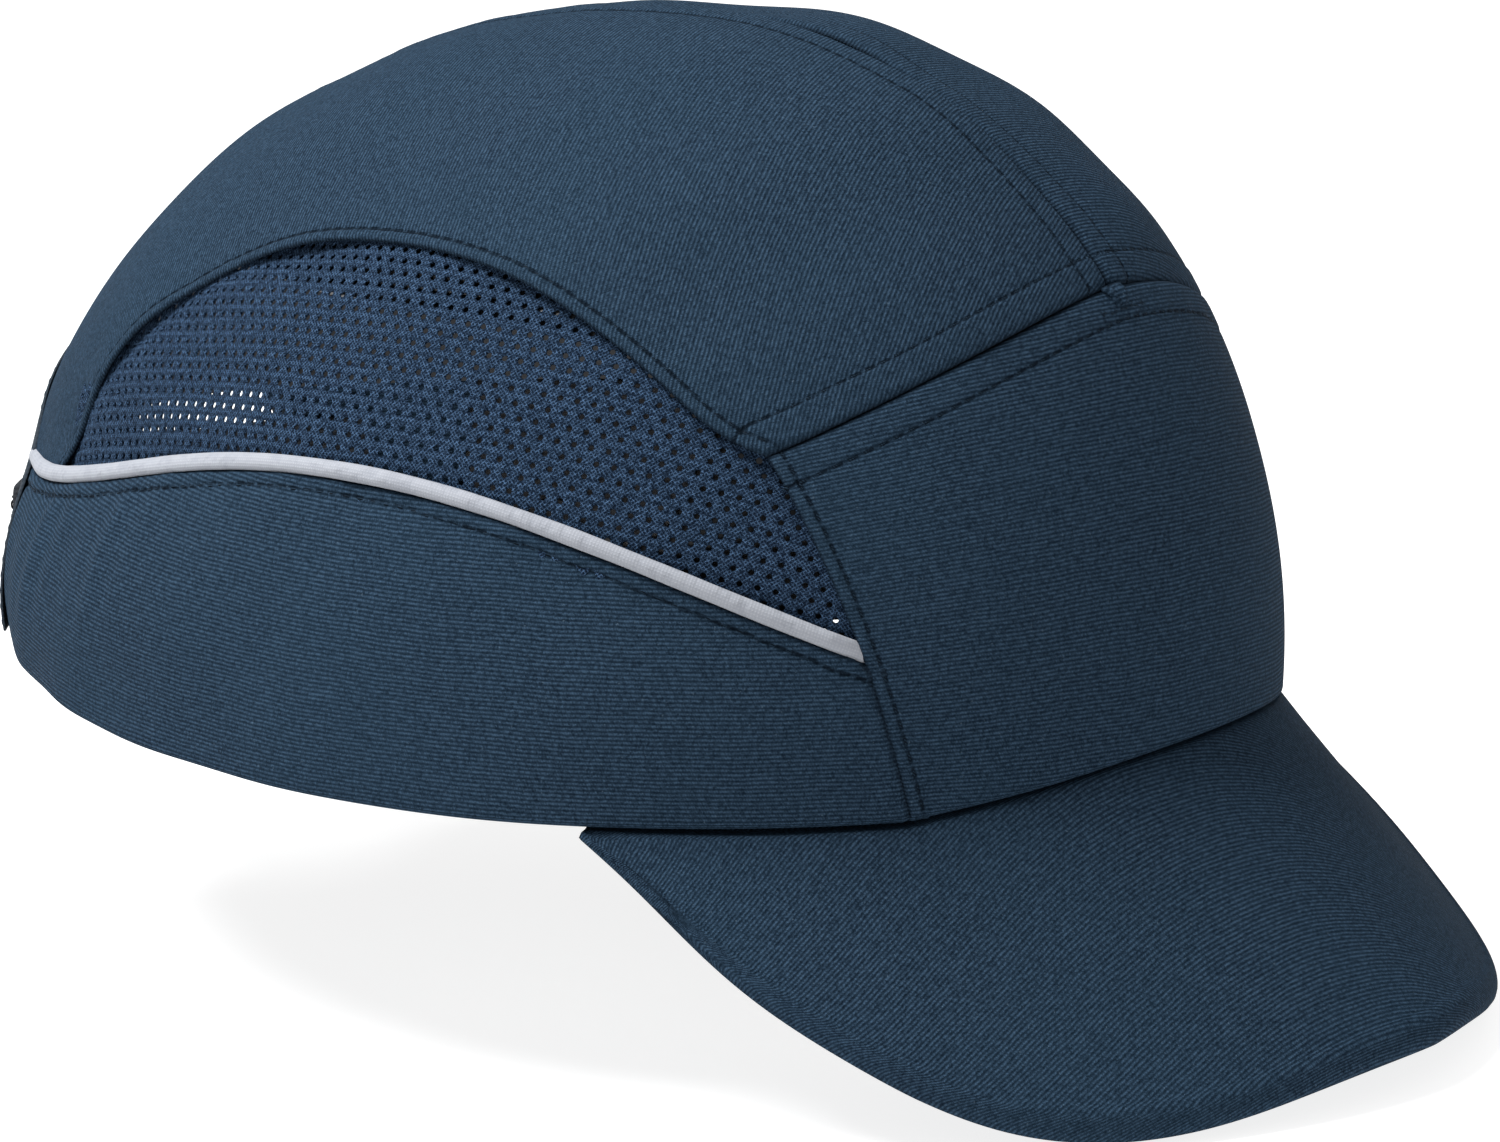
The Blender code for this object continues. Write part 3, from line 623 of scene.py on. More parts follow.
def twill(name, degrees, stitched=True):
    """Navy twill whose ribs lie turned by degrees on the cloth."""
    look = Look(name, rough=0.85, specular=0.03)
    uv = look.turned(look.uv(), degrees)
    x, y = look.split(uv)[:2]
    drift = look.noise(0.012, 2.0)
    slub = look.noise(0.0011, 2.0)
    rib = look.ribs(y, TWILL_PITCH, drift, 7.0)
    yarn = look.ribs(look.math("ADD", x, look.math("MULTIPLY", y, 0.55)), 0.00042, slub, 5.0)
    grain = look.ramp(look.noise(0.00042, 3.0, rough=0.65), 0.30, 0.70)
    fleck = look.ramp(look.noise(0.00085, 2.0, rough=0.8), 0.35, 0.68)
    weave = look.math("MULTIPLY", rib, look.math("MULTIPLY_ADD", yarn, 0.40, 0.60))
    mottle = look.math("MULTIPLY_ADD", fleck, 0.60, 0.22)
    # tone: the rib and yarn pattern is painted shade in the valleys and painted highlight on the ribs;
    # grain and small random patches lighten and darken it at random
    tone = look.math("MULTIPLY", look.math("MULTIPLY_ADD", weave, 0.62, 0.18),
                     look.math("MULTIPLY_ADD", grain, 0.95, mottle), clamp=True)
    colour = look.mix(tone, TWILL_DARK, TWILL_LIGHT)
    broad = look.noise(0.035, 3.0)
    colour = look.mix(look.ramp(broad, 0.3, 0.75), colour,
                      look.mix(0.14, colour, (0.016, 0.040, 0.066)))
    # tiny light specks: painted glints of the ribs' highlights
    glint = look.ramp(look.noise(0.00045, 1.0, rough=0.2), 0.775, 0.80)
    colour = look.mix(look.math("MULTIPLY", glint, 0.30), colour, (0.11, 0.16, 0.21))
    height = look.math("ADD", weave, look.math("MULTIPLY", grain, 0.6))
    if stitched:
        colour, height = stitch_shade(look, colour, height)
    return look.finish(colour, height, 0.00014, 0.9,
                       look.math("MULTIPLY_ADD", grain, 0.12, 0.78))


TWILL_FRONT = twill("twill_front", 4.0)
TWILL_CROWN = twill("twill_crown", -98.0)
TWILL_BAND = twill("twill_band", 0.0)
TWILL_VISOR = twill("twill_visor", 18.0, stitched=False)
TWILL_UNDER = twill("twill_under", 0.0, stitched=False)


def knit_look():
    look = Look("navy_knit", rough=0.8, specular=0.03)
    x, y = look.split(look.uv())[:2]
    wander = look.noise(0.0016, 2.0)
    a = look.ribs(look.math("ADD", x, y), 0.00070, wander, 5.0)
    b = look.ribs(look.math("SUBTRACT", x, y), 0.00070, wander, 5.0)
    course = look.ribs(y, 0.001125, wander, 2.0)
    loops = look.math("MAXIMUM", look.math("POWER", a, 4.0), look.math("POWER", b, 4.0))
    loops = look.math("MULTIPLY", loops, look.math("MULTIPLY_ADD", course, 0.6, 0.4))
    grain = look.ramp(look.noise(0.00050, 3.0, rough=0.8), 0.36, 0.62)
    tone = look.math("MULTIPLY", look.math("MULTIPLY_ADD", loops, 0.85, 0.10),
                     look.math("MULTIPLY_ADD", grain, 1.25, 0.12), clamp=True)
    colour = look.mix(tone, (0.0012, 0.0040, 0.0110), (0.066, 0.124, 0.222))
    height = look.math("ADD", loops, look.math("MULTIPLY", grain, 0.8))
    return look.finish(colour, height, 0.00014, 0.9)


def thread_look(name, dark, light):
    look = Look(name, rough=0.7, specular=0.06)
    x, _, z = look.split(look.place())[:3]
    twist = look.ribs(look.math("ADD", x, z), 0.0005)
    return look.finish(look.mix(twist, dark, light), twist, 0.00006)


def piping_look():
    look = Look("piping_tape", rough=0.65, specular=0.12)
    x, y = look.split(look.uv())[:2]
    fine = look.noise(0.00035, 3.0, rough=0.7)
    weave = look.math("MULTIPLY", look.ribs(x, 0.00050), look.ribs(y, 0.00050))
    pucker = look.ramp(look.noise(0.0028, 2.0), 0.42, 0.70)
    broad = look.noise(0.010, 3.0)
    tone = look.math("MULTIPLY_ADD", weave, 0.4, look.math("MULTIPLY", fine, 0.6))
    colour = look.mix(tone, (0.26, 0.275, 0.31), (0.42, 0.435, 0.47))
    colour = look.mix(look.math("MULTIPLY", broad, 0.4), colour, (0.24, 0.255, 0.29))
    # painted shade in the puckers' folds, darker where the relief dips
    colour = look.mix(look.math("MULTIPLY", pucker, 0.22), colour, (0.17, 0.185, 0.22))
    height = look.math("ADD", look.math("MULTIPLY", pucker, -3.0), weave)
    return look.finish(colour, height, 0.00006, 0.7)


def cloth_look(name, dark, light, pitch, cross, depth=0.00015):
    look = Look(name, rough=0.85, specular=0.08)
    x, y = look.split(look.uv())[:2]
    wander = look.noise(0.003, 2.0)
    a, b = look.ribs(x, pitch, wander, 2.0), look.ribs(y, cross, wander, 2.0)
    weave = look.math("MULTIPLY", look.math("MULTIPLY_ADD", a, 0.6, 0.4),
                      look.math("MULTIPLY_ADD", b, 0.6, 0.4))
    grain = look.noise(0.00035, 3.0)
    tone = look.math("MULTIPLY_ADD", grain, 0.5, look.math("MULTIPLY", weave, 0.6), clamp=True)
    return look.finish(look.mix(tone, dark, light), look.math("ADD", weave, grain), depth, 0.8)


def pile_look(name, dark, light, size, depth):
    look = Look(name, rough=0.95, specular=0.08, sheen=0.08, sheen_rough=0.6)
    height = look.math("ADD", look.noise(size, 4.0, rough=0.7), look.cells(size))
    return look.finish(look.mix(look.ramp(height, 0.4, 1.2), dark, light), height, depth, 0.9)


def plastic_look(name, dark, light, rough=0.45):
    look = Look(name, rough=rough, specular=0.4)
    grain = look.noise(0.0012, 4.0)
    broad = look.noise(0.03, 2.0)
    return look.finish(look.mix(broad, dark, light), grain, 0.00005, 0.6,
                       look.math("MULTIPLY_ADD", grain, 0.2, rough - 0.1))


def foam_look():
    look = Look("eva_foam", rough=0.92, specular=0.2)
    cells = look.cells(0.0009)
    tone = look.noise(0.012, 3.0)
    colour = look.mix(look.ramp(cells, 0.0, 0.7), (0.020, 0.021, 0.024), (0.052, 0.054, 0.060))
    colour = look.mix(look.math("MULTIPLY", tone, 0.4), colour, (0.060, 0.062, 0.068))
    return look.finish(colour, cells, 0.00016, 0.7)


KNIT = knit_look()
THREAD = thread_look("navy_thread", (0.0010, 0.0032, 0.0065), (0.012, 0.026, 0.044))
THREAD_DARK = thread_look("black_thread", (0.006, 0.006, 0.007), (0.030, 0.031, 0.034))
PIPING = piping_look()
TAPE = cloth_look("binding_tape", (0.012, 0.018, 0.026), (0.040, 0.052, 0.066), 0.0008, 0.0006)
TOWEL = pile_look("sweatband_towel", (0.006, 0.006, 0.007), (0.028, 0.028, 0.030), 0.0009, 0.00035)
HDPE = plastic_look("shell_plastic", (0.014, 0.014, 0.016), (0.022, 0.022, 0.024))
FOAM = foam_look()
WEBBING = cloth_look("strap_webbing", (0.012, 0.014, 0.018), (0.048, 0.052, 0.060),
                     0.0016, 0.0009, depth=0.0003)
ELASTIC = cloth_look("elastic_webbing", (0.005, 0.005, 0.006), (0.026, 0.026, 0.029),
                     0.0011, 0.0022, depth=0.0004)
LOOPS = pile_look("loop_pile", (0.004, 0.004, 0.005), (0.030, 0.030, 0.033), 0.0006, 0.0004)
HOOKS = plastic_look("hook_tape", (0.010, 0.010, 0.011), (0.020, 0.020, 0.022), 0.5)
RUBBER = plastic_look("grip_rubber", (0.020, 0.023, 0.027), (0.036, 0.040, 0.046), 0.6)
BOARD = plastic_look("visor_board", (0.62, 0.62, 0.60), (0.74, 0.74, 0.71), 0.5)


# ------------------------------------------------------------------ crown panels
def shaped(points, folds, seed, extra=None):
    """Moves panel points in and out of the crown's face: seams, bands, puckers, softness."""
    push = 0.00050 * waves(points, 0.034, seed)
    nearest = np.full(points.shape[:-1], 1.0)
    # crease marks painted shade: along seam lines and folded edges, under the piping and under the front
    # panel's edge
    crease_shade = np.zeros(points.shape[:-1])
    at = np.zeros(points.shape[:-1])
    for curve, kind in folds:
        d, s = near(points, curve)
        along = np.stack([s, 0 * s, 0 * s], -1)
        ripple, ripple2 = waves(along, 0.0085, seed + 11), waves(along, 0.0042, seed + 17)
        row = np.full_like(d, 1.0)
        if kind == "plain":      # pressed open, a row of stitching either side
            push -= 0.00065 * np.exp(-(d / 0.00055) ** 1.5)
            push += 0.00013 * step(d, 0.0003, 0.0012) * (1 - step(d, 0.0046, 0.0060))
            push -= 0.00016 * ridge(d, TWIN_ROW, 0.00042)
            push += (0.00010 * ripple + 0.00006 * ripple2) * ridge(d, 0.0046, 0.0034)
            row = np.abs(d - TWIN_ROW)
            crease_shade = np.maximum(crease_shade, ridge(d, 0, 0.00040))
        elif kind == "over":     # folded edge lying over its neighbour
            push += 0.00028 * (1 - step(d, 0.0012, 0.0030))
            push -= 0.00055 * np.clip(1 - d / 0.0006, 0, 1) ** 2
            push -= 0.00022 * ridge(d, EDGE_ROW, 0.00038)
            push += (0.00012 * ripple + 0.00008 * ripple2) * ridge(d, 0.0030, 0.0026)
            row = np.abs(d - EDGE_ROW)
            crease_shade = np.maximum(crease_shade, 0.7 * ridge(d, 0, 0.00030))
        elif kind == "piped":    # top edge of the band under the piping
            push -= 0.0013 * np.exp(-(d / 0.0014) ** 3)
            push += 0.00036 * step(d, 0.0012, 0.0019) * (1 - step(d, 0.0030, 0.0042))
            push -= 0.00034 * ridge(d, BAND_ROW, 0.00050)
            push += (0.00022 * ripple + 0.00014 * ripple2) * ridge(d, 0.0036, 0.0026)
            row = np.abs(d - BAND_ROW - 0.00018 * ripple2)
            crease_shade = np.maximum(crease_shade, 0.8 * ridge(d, 0.0013, 0.0004))
        elif kind == "under":    # runs on beneath a folded edge
            push -= 0.00075 * (1 - step(d, 0.0024, 0.0038))
            crease_shade = np.maximum(crease_shade, 0.8 * (1 - step(d, 0.0026, 0.0032)))
        else:                    # bound edge
            push -= 0.0002 * ridge(d, 0, 0.0015)
            push += 0.00012 * ripple * ridge(d, 0.004, 0.003)
        use = row < nearest
        nearest, at = np.where(use, row, nearest), np.where(use, s, at)
    if extra is not None:
        push += extra(points)
    moved, n = skin(points, -push)
    return moved, n, np.stack([nearest, at, crease_shade], -1)


def hemmed(points, n):
    """Adds the turned hem below the first row: round the rim and up the inside."""
    base = points[0]
    down = np.array([0, 0, -1.0])
    out = unit(n[0] * np.array([1, 1, 0]))
    rows = []
    r = 0.00095
    for a in np.radians([24, 48, 72, 90, 114, 138, 162, 180]):
        rows.append(base - out * r * (1 - math.cos(a)) + down * r * math.sin(a) * 0.95)
    for up in (0.0012, 0.0030, 0.0055, 0.0080):
        rows.append(on_crown(base + np.array([0, 0, up]), 2 * r))
    return np.concatenate([np.array(rows[::-1]), points], 0)


def panel(name, node, grid, folds, uv_of, look, seed, hem=False, left=True, extra=None):
    """A panel of navy cloth on a net of crown points, with its folded or sewn edges."""
    moved, n, stitch = shaped(on_crown(grid), folds, seed, extra=extra)
    uv = uv_of(on_crown(grid))
    if hem:
        moved = hemmed(moved, n)
        added = len(moved) - len(stitch)
        first = stitch[:1] * np.array([0, 1, 0]) + np.array([1.0, 0, 0])
        stitch = np.concatenate([np.repeat(first, added, 0), stitch], 0)
        drop = (np.arange(added, 0, -1) * 0.0007)[:, None, None] * np.array([0, 1.0])
        uv = np.concatenate([uv[:1] - drop, uv], 0)
    if not left:
        moved = mirror(moved)
        uv = uv * np.array([-1.0, 1.0])
    piece(name, moved, net_faces(*moved.shape[:2], flip=not left), look, "navy_twill",
          nodes=(node,), uv=uv, stitch=stitch, thick=CLOTH)


def grid_of(bottom, top, first, final, ends_v=(True, True)):
    """A net between four lines, finer along its edges."""
    u = spaced(max(length_of(bottom), length_of(top)))
    v = spaced(max(length_of(first), length_of(final)), ends=ends_v)
    return coons(bottom, top, first, final, u, v)


def straightened(grid, reach):
    """Straight cross lines over the first stretch beside a panel's first side."""
    grid = on_crown(grid)
    fixed = grid.copy()
    rows = np.linalg.norm(np.diff(grid, axis=0), axis=2).sum(0).mean()
    for j in range(len(grid)):
        run = travelled(grid[j])
        m = int(np.argmax(run > reach))
        t = (run[:m] / run[m])[:, None]
        share = j / (len(grid) - 1)
        keep = step(min(share, 1 - share) * rows, 0.0, 0.007)
        line = grid[j, 0] * (1 - t) + grid[j, m] * t
        fixed[j, :m] = grid[j, :m] * (1 - keep) + line * keep
    return fixed


# front panel, symmetric: its own folded edges lie over the sides
rim_phi = np.linspace(-side_phi[0], side_phi[0], 160)
rim_rise = front_rise(crown(rim_phi, 0 * rim_phi)[:, 0])
RIM_FRONT_LINE = crown(rim_phi, theta_at(rim_phi, HEM + rim_rise))
top_line = np.concatenate([mirror(SEAM_TOP[::-1]), SEAM_TOP[1:]])
front_grid = grid_of(RIM_FRONT_LINE, top_line, mirror(SEAM_SIDE), SEAM_SIDE, ends_v=(False, True))
front_flat = Flat((0, -0.09, 0.036), (1, 0, 0))


def over_piping(p):
    """The front panel's edge rides up where the piping ends under it."""
    d = np.minimum(np.linalg.norm(p - PIPE[0], axis=-1),
                   np.linalg.norm(p - mirror(PIPE[0]), axis=-1))
    return 0.00045 * np.exp(-(d / 0.0024) ** 2)


panel("front_panel_cloth", "front_panel", front_grid,
      [(top_line, "plain"), (mirror(SEAM_SIDE), "over"), (SEAM_SIDE, "over")],
      front_flat.lay, TWILL_FRONT, 3, hem=True, extra=over_piping)

# crown tops and side bands, drawn on the wearer's left
to_arch = np.concatenate([PIPE[behind:], ARCH[meet + 1:]])
crown_grid = straightened(grid_of(SHOULDER, CENTRE, SEAM_TOP[::-1], to_arch), 0.016)
crown_flat = Flat((0.045, 0.0, 0.1), (0, 1, 0))
band_low_phi = np.linspace(side_phi[0] - 0.035, arch_phi[0], 260)
BAND_LOW = crown(band_low_phi, theta_at(band_low_phi, HEM + 0 * band_low_phi))
under_side = offset_line(SEAM_SIDE, UNDERLAP)
b_at = int(np.argmin(np.linalg.norm(under_side[:, None] - PIPE_ALL[None], axis=2).min(1)))
pipe_from = int(np.argmin(np.linalg.norm(PIPE_ALL - under_side[b_at], axis=1)))
pipe_to = at_front + last
BAND_TOP = PIPE_ALL[pipe_from:pipe_to + 1].copy()
BAND_TOP[-1] = ARCH[meet]
under_low = under_side[:b_at + 1].copy()
under_low[0], under_low[-1] = BAND_LOW[0], BAND_TOP[0]
band_end = np.concatenate([BAND_LOW[-1:], ARCH[1:meet + 1]])
band_grid = grid_of(BAND_LOW, BAND_TOP, under_low, band_end, ends_v=(False, True))
rim_run = travelled(BAND_LOW)


def band_uv(p):
    """Distance round the rim and up the side."""
    phi, theta = locate(p)
    rise = np.linspace(0, 1.1, 60)
    height = travelled(crown(math.radians(100), rise))
    return np.stack([np.interp(phi, band_low_phi, rim_run), np.interp(theta, rise, height)], -1)


def gathers(p):
    """Soft upright folds toward the rear of the band, fading down from the piping."""
    phi, _ = locate(p)
    s = np.interp(phi, band_low_phi, rim_run)
    top = piping_height(p[..., 1])
    fall = np.clip((top - p[..., 2]) / 0.03, 0, 1)
    where = step(s, rim_run[-1] - 0.085, rim_run[-1] - 0.055)
    fold = np.sin(2 * math.pi * s / 0.0105 + 0.8 * np.sin(s / 0.013))
    fold = fold * (0.6 + 0.4 * np.sin(2 * math.pi * s / 0.031 + 1.0))
    return 0.00045 * where * fold * step(fall, 0.03, 0.2) * (1 - step(fall, 0.45, 1.0))


for side, left in TWIN_SIDES:
    panel("crown_top_cloth_" + side, "side_crown_" + side, crown_grid,
          [(SEAM_TOP, "plain"), (CENTRE, "plain"), (SHOULDER, "over"), (ARCH, "bound")],
          crown_flat.lay, TWILL_CROWN, 5 if left else 6, left=left)
    panel("side_band_cloth_" + side, "side_band_" + side, band_grid,
          [(BAND_TOP, "piped"), (under_low, "under"), (ARCH, "bound")],
          band_uv, TWILL_BAND, 8 if left else 9, hem=True, left=left, extra=gathers)

# ------------------------------------------------------------------ mesh panels with open holes
PITCH, ROW, HOLE = 0.0028, 0.00225, 0.00046  # hole to hole, row to row, hole radius
MESH_UNDERLAP, MESH_THICKNESS = 0.0046, 0.0005
mesh_flat = Flat((0.08, 0.0, 0.055), (0, 1, 0))
front_part = SEAM_SIDE[np.argmin(np.linalg.norm(SEAM_SIDE - PIPE[0], axis=1)):]


def inside(poly, p):
    """Which points lie within a flat outline."""
    x, y = p[..., 0], p[..., 1]
    hit = np.zeros(x.shape, bool)
    for (x0, y0), (x1, y1) in zip(poly, np.roll(poly, -1, 0)):
        if y0 != y1:
            hit ^= ((y0 > y) != (y1 > y)) & (x < (x1 - x0) * (y - y0) / (y1 - y0) + x0)
    return hit


mesh_outline = mesh_flat.lay(np.concatenate([PIPE[:behind + 1], SHOULDER[::-1], front_part[::-1]]))


def mesh_net():
    """The left mesh panel as a lattice of cells, each with an open hole."""
    low, high = mesh_outline.min(0) - 0.006, mesh_outline.max(0) + 0.006
    rows = np.arange(math.floor(low[1] / ROW), math.ceil(high[1] / ROW) + 1)
    cols = np.arange(math.floor(low[0] / PITCH), math.ceil(high[0] / PITCH) + 1)
    spots = np.array([((c + 0.5 * (r % 2)) * PITCH, r * ROW) for r in rows for c in cols])
    gap = np.linalg.norm(spots[:, None] - mesh_outline[None, ::3], axis=2).min(1)
    spots = spots[inside(mesh_outline, spots) | (gap < MESH_UNDERLAP)]
    a = np.arange(8) * math.pi / 4
    w, h = PITCH / 2, ROW
    outer = np.array([(w, 0), (w / 2, h / 2), (0, h), (-w / 2, h / 2),
                      (-w, 0), (-w / 2, -h / 2), (0, -h), (w / 2, -h / 2)])
    rings = [np.stack([np.cos(a), np.sin(a)], -1) * r for r in (HOLE, HOLE * 1.45)]
    rings.append(0.5 * (rings[1] + outer))
    rings.append(outer)
    cell = np.concatenate(rings)
    uv = (spots[:, None] + cell[None]).reshape(-1, 2)
    dip = np.tile(np.repeat([0.00022, 0.00002, 0.0, 0.0], 8), len(spots))
    faces = []
    for k in range(len(spots)):
        for r in range(3):
            for i in range(8):
                j = (i + 1) % 8
                b = k * 32 + r * 8
                faces.append((b + i, b + 8 + i, b + 8 + j, b + j))
    key = np.round(uv / 0.00002).astype(np.int64)
    _, first, back = np.unique(key, axis=0, return_index=True, return_inverse=True)
    back = back.ravel()
    faces = [tuple(back[i] for i in f) for f in faces]
    uv, dip = uv[first], dip[first]
    p = mesh_flat.lift(uv)
    hollow = 0.00075 + 0.00035 * waves(p, 0.03, 21)
    for curve, deep, reach in ((SHOULDER, 0.0006, 0.004), (front_part, 0.0006, 0.004),
                               (PIPE, 0.0007, 0.003)):
        hollow = hollow + deep * (1 - step(near(p, curve)[0], 0.0002, reach))
    return on_crown(p, hollow + dip), faces, uv


v, f, uv = mesh_net()
for side, left in TWIN_SIDES:
    if not left:
        v, f, uv = mirror(v), [g[::-1] for g in f], uv * np.array([-1.0, 1.0])
    piece("mesh_cloth_" + side, v, f, KNIT, "navy_mesh", nodes=("mesh_panel_" + side,), uv=uv,
          thick=MESH_THICKNESS)

# ------------------------------------------------------------------ piping
PIPING_RADIUS, PIPING_SIDES = 0.00138, 18


def piping_net():
    """The left piping: thinner where it ends at the arch, flattened under the front panel."""
    line = on_crown(resample(offset_line(BAND_TOP, 0.0), 260), 0.0001)
    run = np.linspace(0, length_of(line), len(line))
    taper = 1 - 0.55 * (1 - step(run[-1] - run, 0.0, 0.004))
    wobble = 1 + 0.025 * waves(line, 0.012, 31)
    seam_run = near(PIPE[:1], line)[1][0]
    low = 1 - step(run, seam_run - 0.0005, seam_run + 0.0040)
    n = skin(line)[1]
    line = line - n * (0.00055 * low + 0.0011 * (1 - step(run, 0.0004, 0.0026)))[:, None]
    v, f, uv = tube_net(line, PIPING_RADIUS, PIPING_SIDES, squash=(1.0, 0.86), taper=taper * wobble)
    low, line, n = (np.repeat(x, PIPING_SIDES, 0) for x in (low[:, None], line, n))
    rise = ((v - line) * n).sum(1, keepdims=True)
    return v - n * rise * 0.62 * low, f, uv


v, f, uv = piping_net()
for side, left in TWIN_SIDES:
    if not left:
        v, f = mirror(v), [g[::-1] for g in f]
    piece("piping_tape_" + side, v, f, PIPING, "grey_piping", nodes=("piping_" + side,), uv=uv)

# ------------------------------------------------------------------ topstitching
def mirrored_rows(line, amount):
    """A row beside a seam on the wearer's left, and its mirror image."""
    return [offset_line(line, amount), offset_line(mirror(line), -amount)]


TOP_ROWS = {
    "front_seam_stitches": [offset_line(top_line, x) for x in (TWIN_ROW, -TWIN_ROW)],
    "front_edge_stitches": mirrored_rows(SEAM_SIDE, EDGE_ROW),
    "shoulder_stitches": mirrored_rows(SHOULDER, EDGE_ROW),
    "centre_seam_stitches": [offset_line(CENTRE, x) for x in (TWIN_ROW, -TWIN_ROW)],
    "band_stitches": mirrored_rows(BAND_TOP[14:], -BAND_ROW),
}
twill_faces = []
for name in ("front_panel_cloth", "crown_top_cloth_left", "crown_top_cloth_right",
             "side_band_cloth_left", "side_band_cloth_right"):
    cloth = bpy.data.objects[name].data
    twill_faces.append(BVHTree.FromPolygons([v.co for v in cloth.vertices],
                                            [tuple(f.vertices) for f in cloth.polygons]))
for name, rows in TOP_ROWS.items():
    stitches(name, rows, THREAD, "navy_twill", inset=THREAD_SINK, radius=THREAD_RADIUS,
             cloths=twill_faces)


# ------------------------------------------------------------------ visor
RIM_Y = float(crown(0.0, 0.0)[1])


def rim_plan(phi, outset):
    """The crown's rim from above, moved outward."""
    p = crown(phi, 0 * phi)
    along = crown(phi + 0.004, 0 * phi) - crown(phi - 0.004, 0 * phi)
    outward = unit(np.stack([along[..., 1], -along[..., 0], 0 * phi], -1))
    return p * np.array([1, 1, 0]) + outward * np.asarray(outset)[..., None]


def visor_edge(s, shrink):
    """The visor's outline from above, s from -1 to 1 round it."""
    a = s * math.pi / 2
    end = crown(VISOR_SWEEP, 0.0)
    x = (end[0] - shrink) * np.sign(s) * np.abs(np.sin(a)) ** (2 / VISOR_EDGE_POWERS[0])
    front = RIM_Y - VISOR_REACH + shrink
    y = end[1] + (front - end[1]) * np.abs(np.cos(a)) ** (2 / VISOR_EDGE_POWERS[1])
    return np.stack([x, y, 0 * s], -1)


ROOT_LINE = crown(np.radians(np.linspace(0, 80, 161)), np.zeros(161))
EDGE_LINE = visor_edge(np.linspace(0, 1, 401), 0.0)


def visor_top_z(x, y):
    """Height of the visor's top: straight from the root to the curved edge."""
    u = np.abs(x)
    y_root = np.interp(u, ROOT_LINE[:, 0], ROOT_LINE[:, 1])
    y_edge = np.interp(u, EDGE_LINE[:, 0], EDGE_LINE[:, 1])
    z_root = front_rise(u) - VISOR_ROOT_GAP
    z_edge = (VISOR_EDGE_FRONT_Z + VISOR_EDGE_SLOPE * (y_edge - RIM_Y)
              - VISOR_CURL * u ** 2 + VISOR_FLARE * u ** 4)
    t = np.clip((y_root - y) / np.maximum(y_root - y_edge, 0.002), 0, 1)
    return z_root + (z_edge - z_root) * t


def visor_height(p, depth):
    """Height of a ply at a depth below the visor's top, measured square to its slope."""
    x, y, e = p[..., 0], p[..., 1], 0.0008
    across = (visor_top_z(x + e, y) - visor_top_z(x - e, y)) / (2 * e)
    along = (visor_top_z(x, y + e) - visor_top_z(x, y - e)) / (2 * e)
    steep = np.clip(np.sqrt(1 + across ** 2 + along ** 2), 1.25, 1.8)
    return visor_top_z(x, y) - depth * steep


def visor_face(name, node, depth, shrink, end, thick, look, edge=0.0, slot="navy_twill"):
    """A ply of the visor. edge is the height of its rounded, turned-down outer edge."""
    s = np.linspace(-1, 1, 190)
    s = np.sign(s) * (1 - (1 - np.abs(s)) ** 1.3) * end
    inner = rim_plan(s * VISOR_SWEEP, VISOR_TUCK - 0.0010 * np.abs(s) ** 4)
    outer = visor_edge(s, shrink)
    way = outer - inner
    span = np.linalg.norm(way, axis=-1)
    way = unit(way)
    rows = []
    if edge:                 # seam allowance, up inside the crown's hem
        first = inner.copy()
        first[..., 2] = visor_height(first, depth)
        for back_by, lift in ((0.0042, 0.0075), (0.0040, 0.0045), (0.0034, 0.0022),
                              (0.0022, 0.0008), (0.0010, 0.0001)):
            p = rim_plan(s * VISOR_SWEEP, VISOR_TUCK - 0.0010 - back_by + 0 * s)
            p[..., 2] = first[..., 2] + lift
            rows.append(p)
    tall = edge * np.clip(span / 0.016, 0.06, 1)
    inset = 0.55 * tall
    for t in spaced(0.046, 0.0004, 0.0012, 0.003, ends=(False, True)):
        p = inner + way * ((span - inset) * t)[:, None]
        p[..., 2] = visor_height(p, depth)
        rows.append(p)
    if edge:
        start = outer - way * inset[:, None]
        base = visor_height(start, depth)
        for a in np.radians([12, 24, 36, 48, 60, 72, 84, 96, 115, 140]):
            p = start + way * (inset * math.sin(a))[:, None]
            p[..., 2] = base - tall * (1 - math.cos(a)) * 0.72 - 0.35 * inset * math.sin(a)
            rows.append(p)
    p = np.array(rows)
    near_end = step(np.abs(s), 0.72, 0.84)[None, 1:-1, None]
    for _ in range(70):
        even = 0.25 * p[:, :-2] + 0.5 * p[:, 1:-1] + 0.25 * p[:, 2:]
        p[:, 1:-1] += (even - p[:, 1:-1]) * near_end
    p[..., 2] += 0.00022 * waves(p, 0.04, 41)
    fold = way[None] * np.clip((visor_height(p, depth) - p[..., 2]), 0, None)[..., None]
    flat = np.stack([p[..., 0] + fold[..., 0], (p[..., 1] + fold[..., 1] - RIM_Y) * 1.34], -1)
    piece(name, p, net_faces(*p.shape[:2], flip=True), look, slot, nodes=(node,), uv=flat,
          thick=thick)


visor_face("visor_top_cloth", "visor_top_cover", 0.0, -0.0006, 1.0, CLOTH, TWILL_VISOR, edge=0.0041)
visor_face("visor_under_cloth", "visor_under_cover", 0.00268, 0.0014, 0.97, 0.0006, TWILL_UNDER)
visor_face("visor_board_sheet", "visor_board", 0.00115, 0.0014, 0.93, 0.0009, BOARD,
           slot="visor_board")


# ------------------------------------------------------------------ rear arch binding and seam tape
def strip_net(line, away, n, profile):
    """Sweeps a closed profile of (sideways, outward) points along a line."""
    prof = np.asarray(profile)
    verts = line[:, None] + prof[None, :, :1] * away[:, None] + prof[None, :, 1:] * n[:, None]
    uv = np.stack(np.broadcast_arrays(travelled(line)[:, None], travelled(prof)[None]), -1)
    return verts.reshape(-1, 3), swept_faces(len(line), len(prof)), uv.reshape(-1, 2)


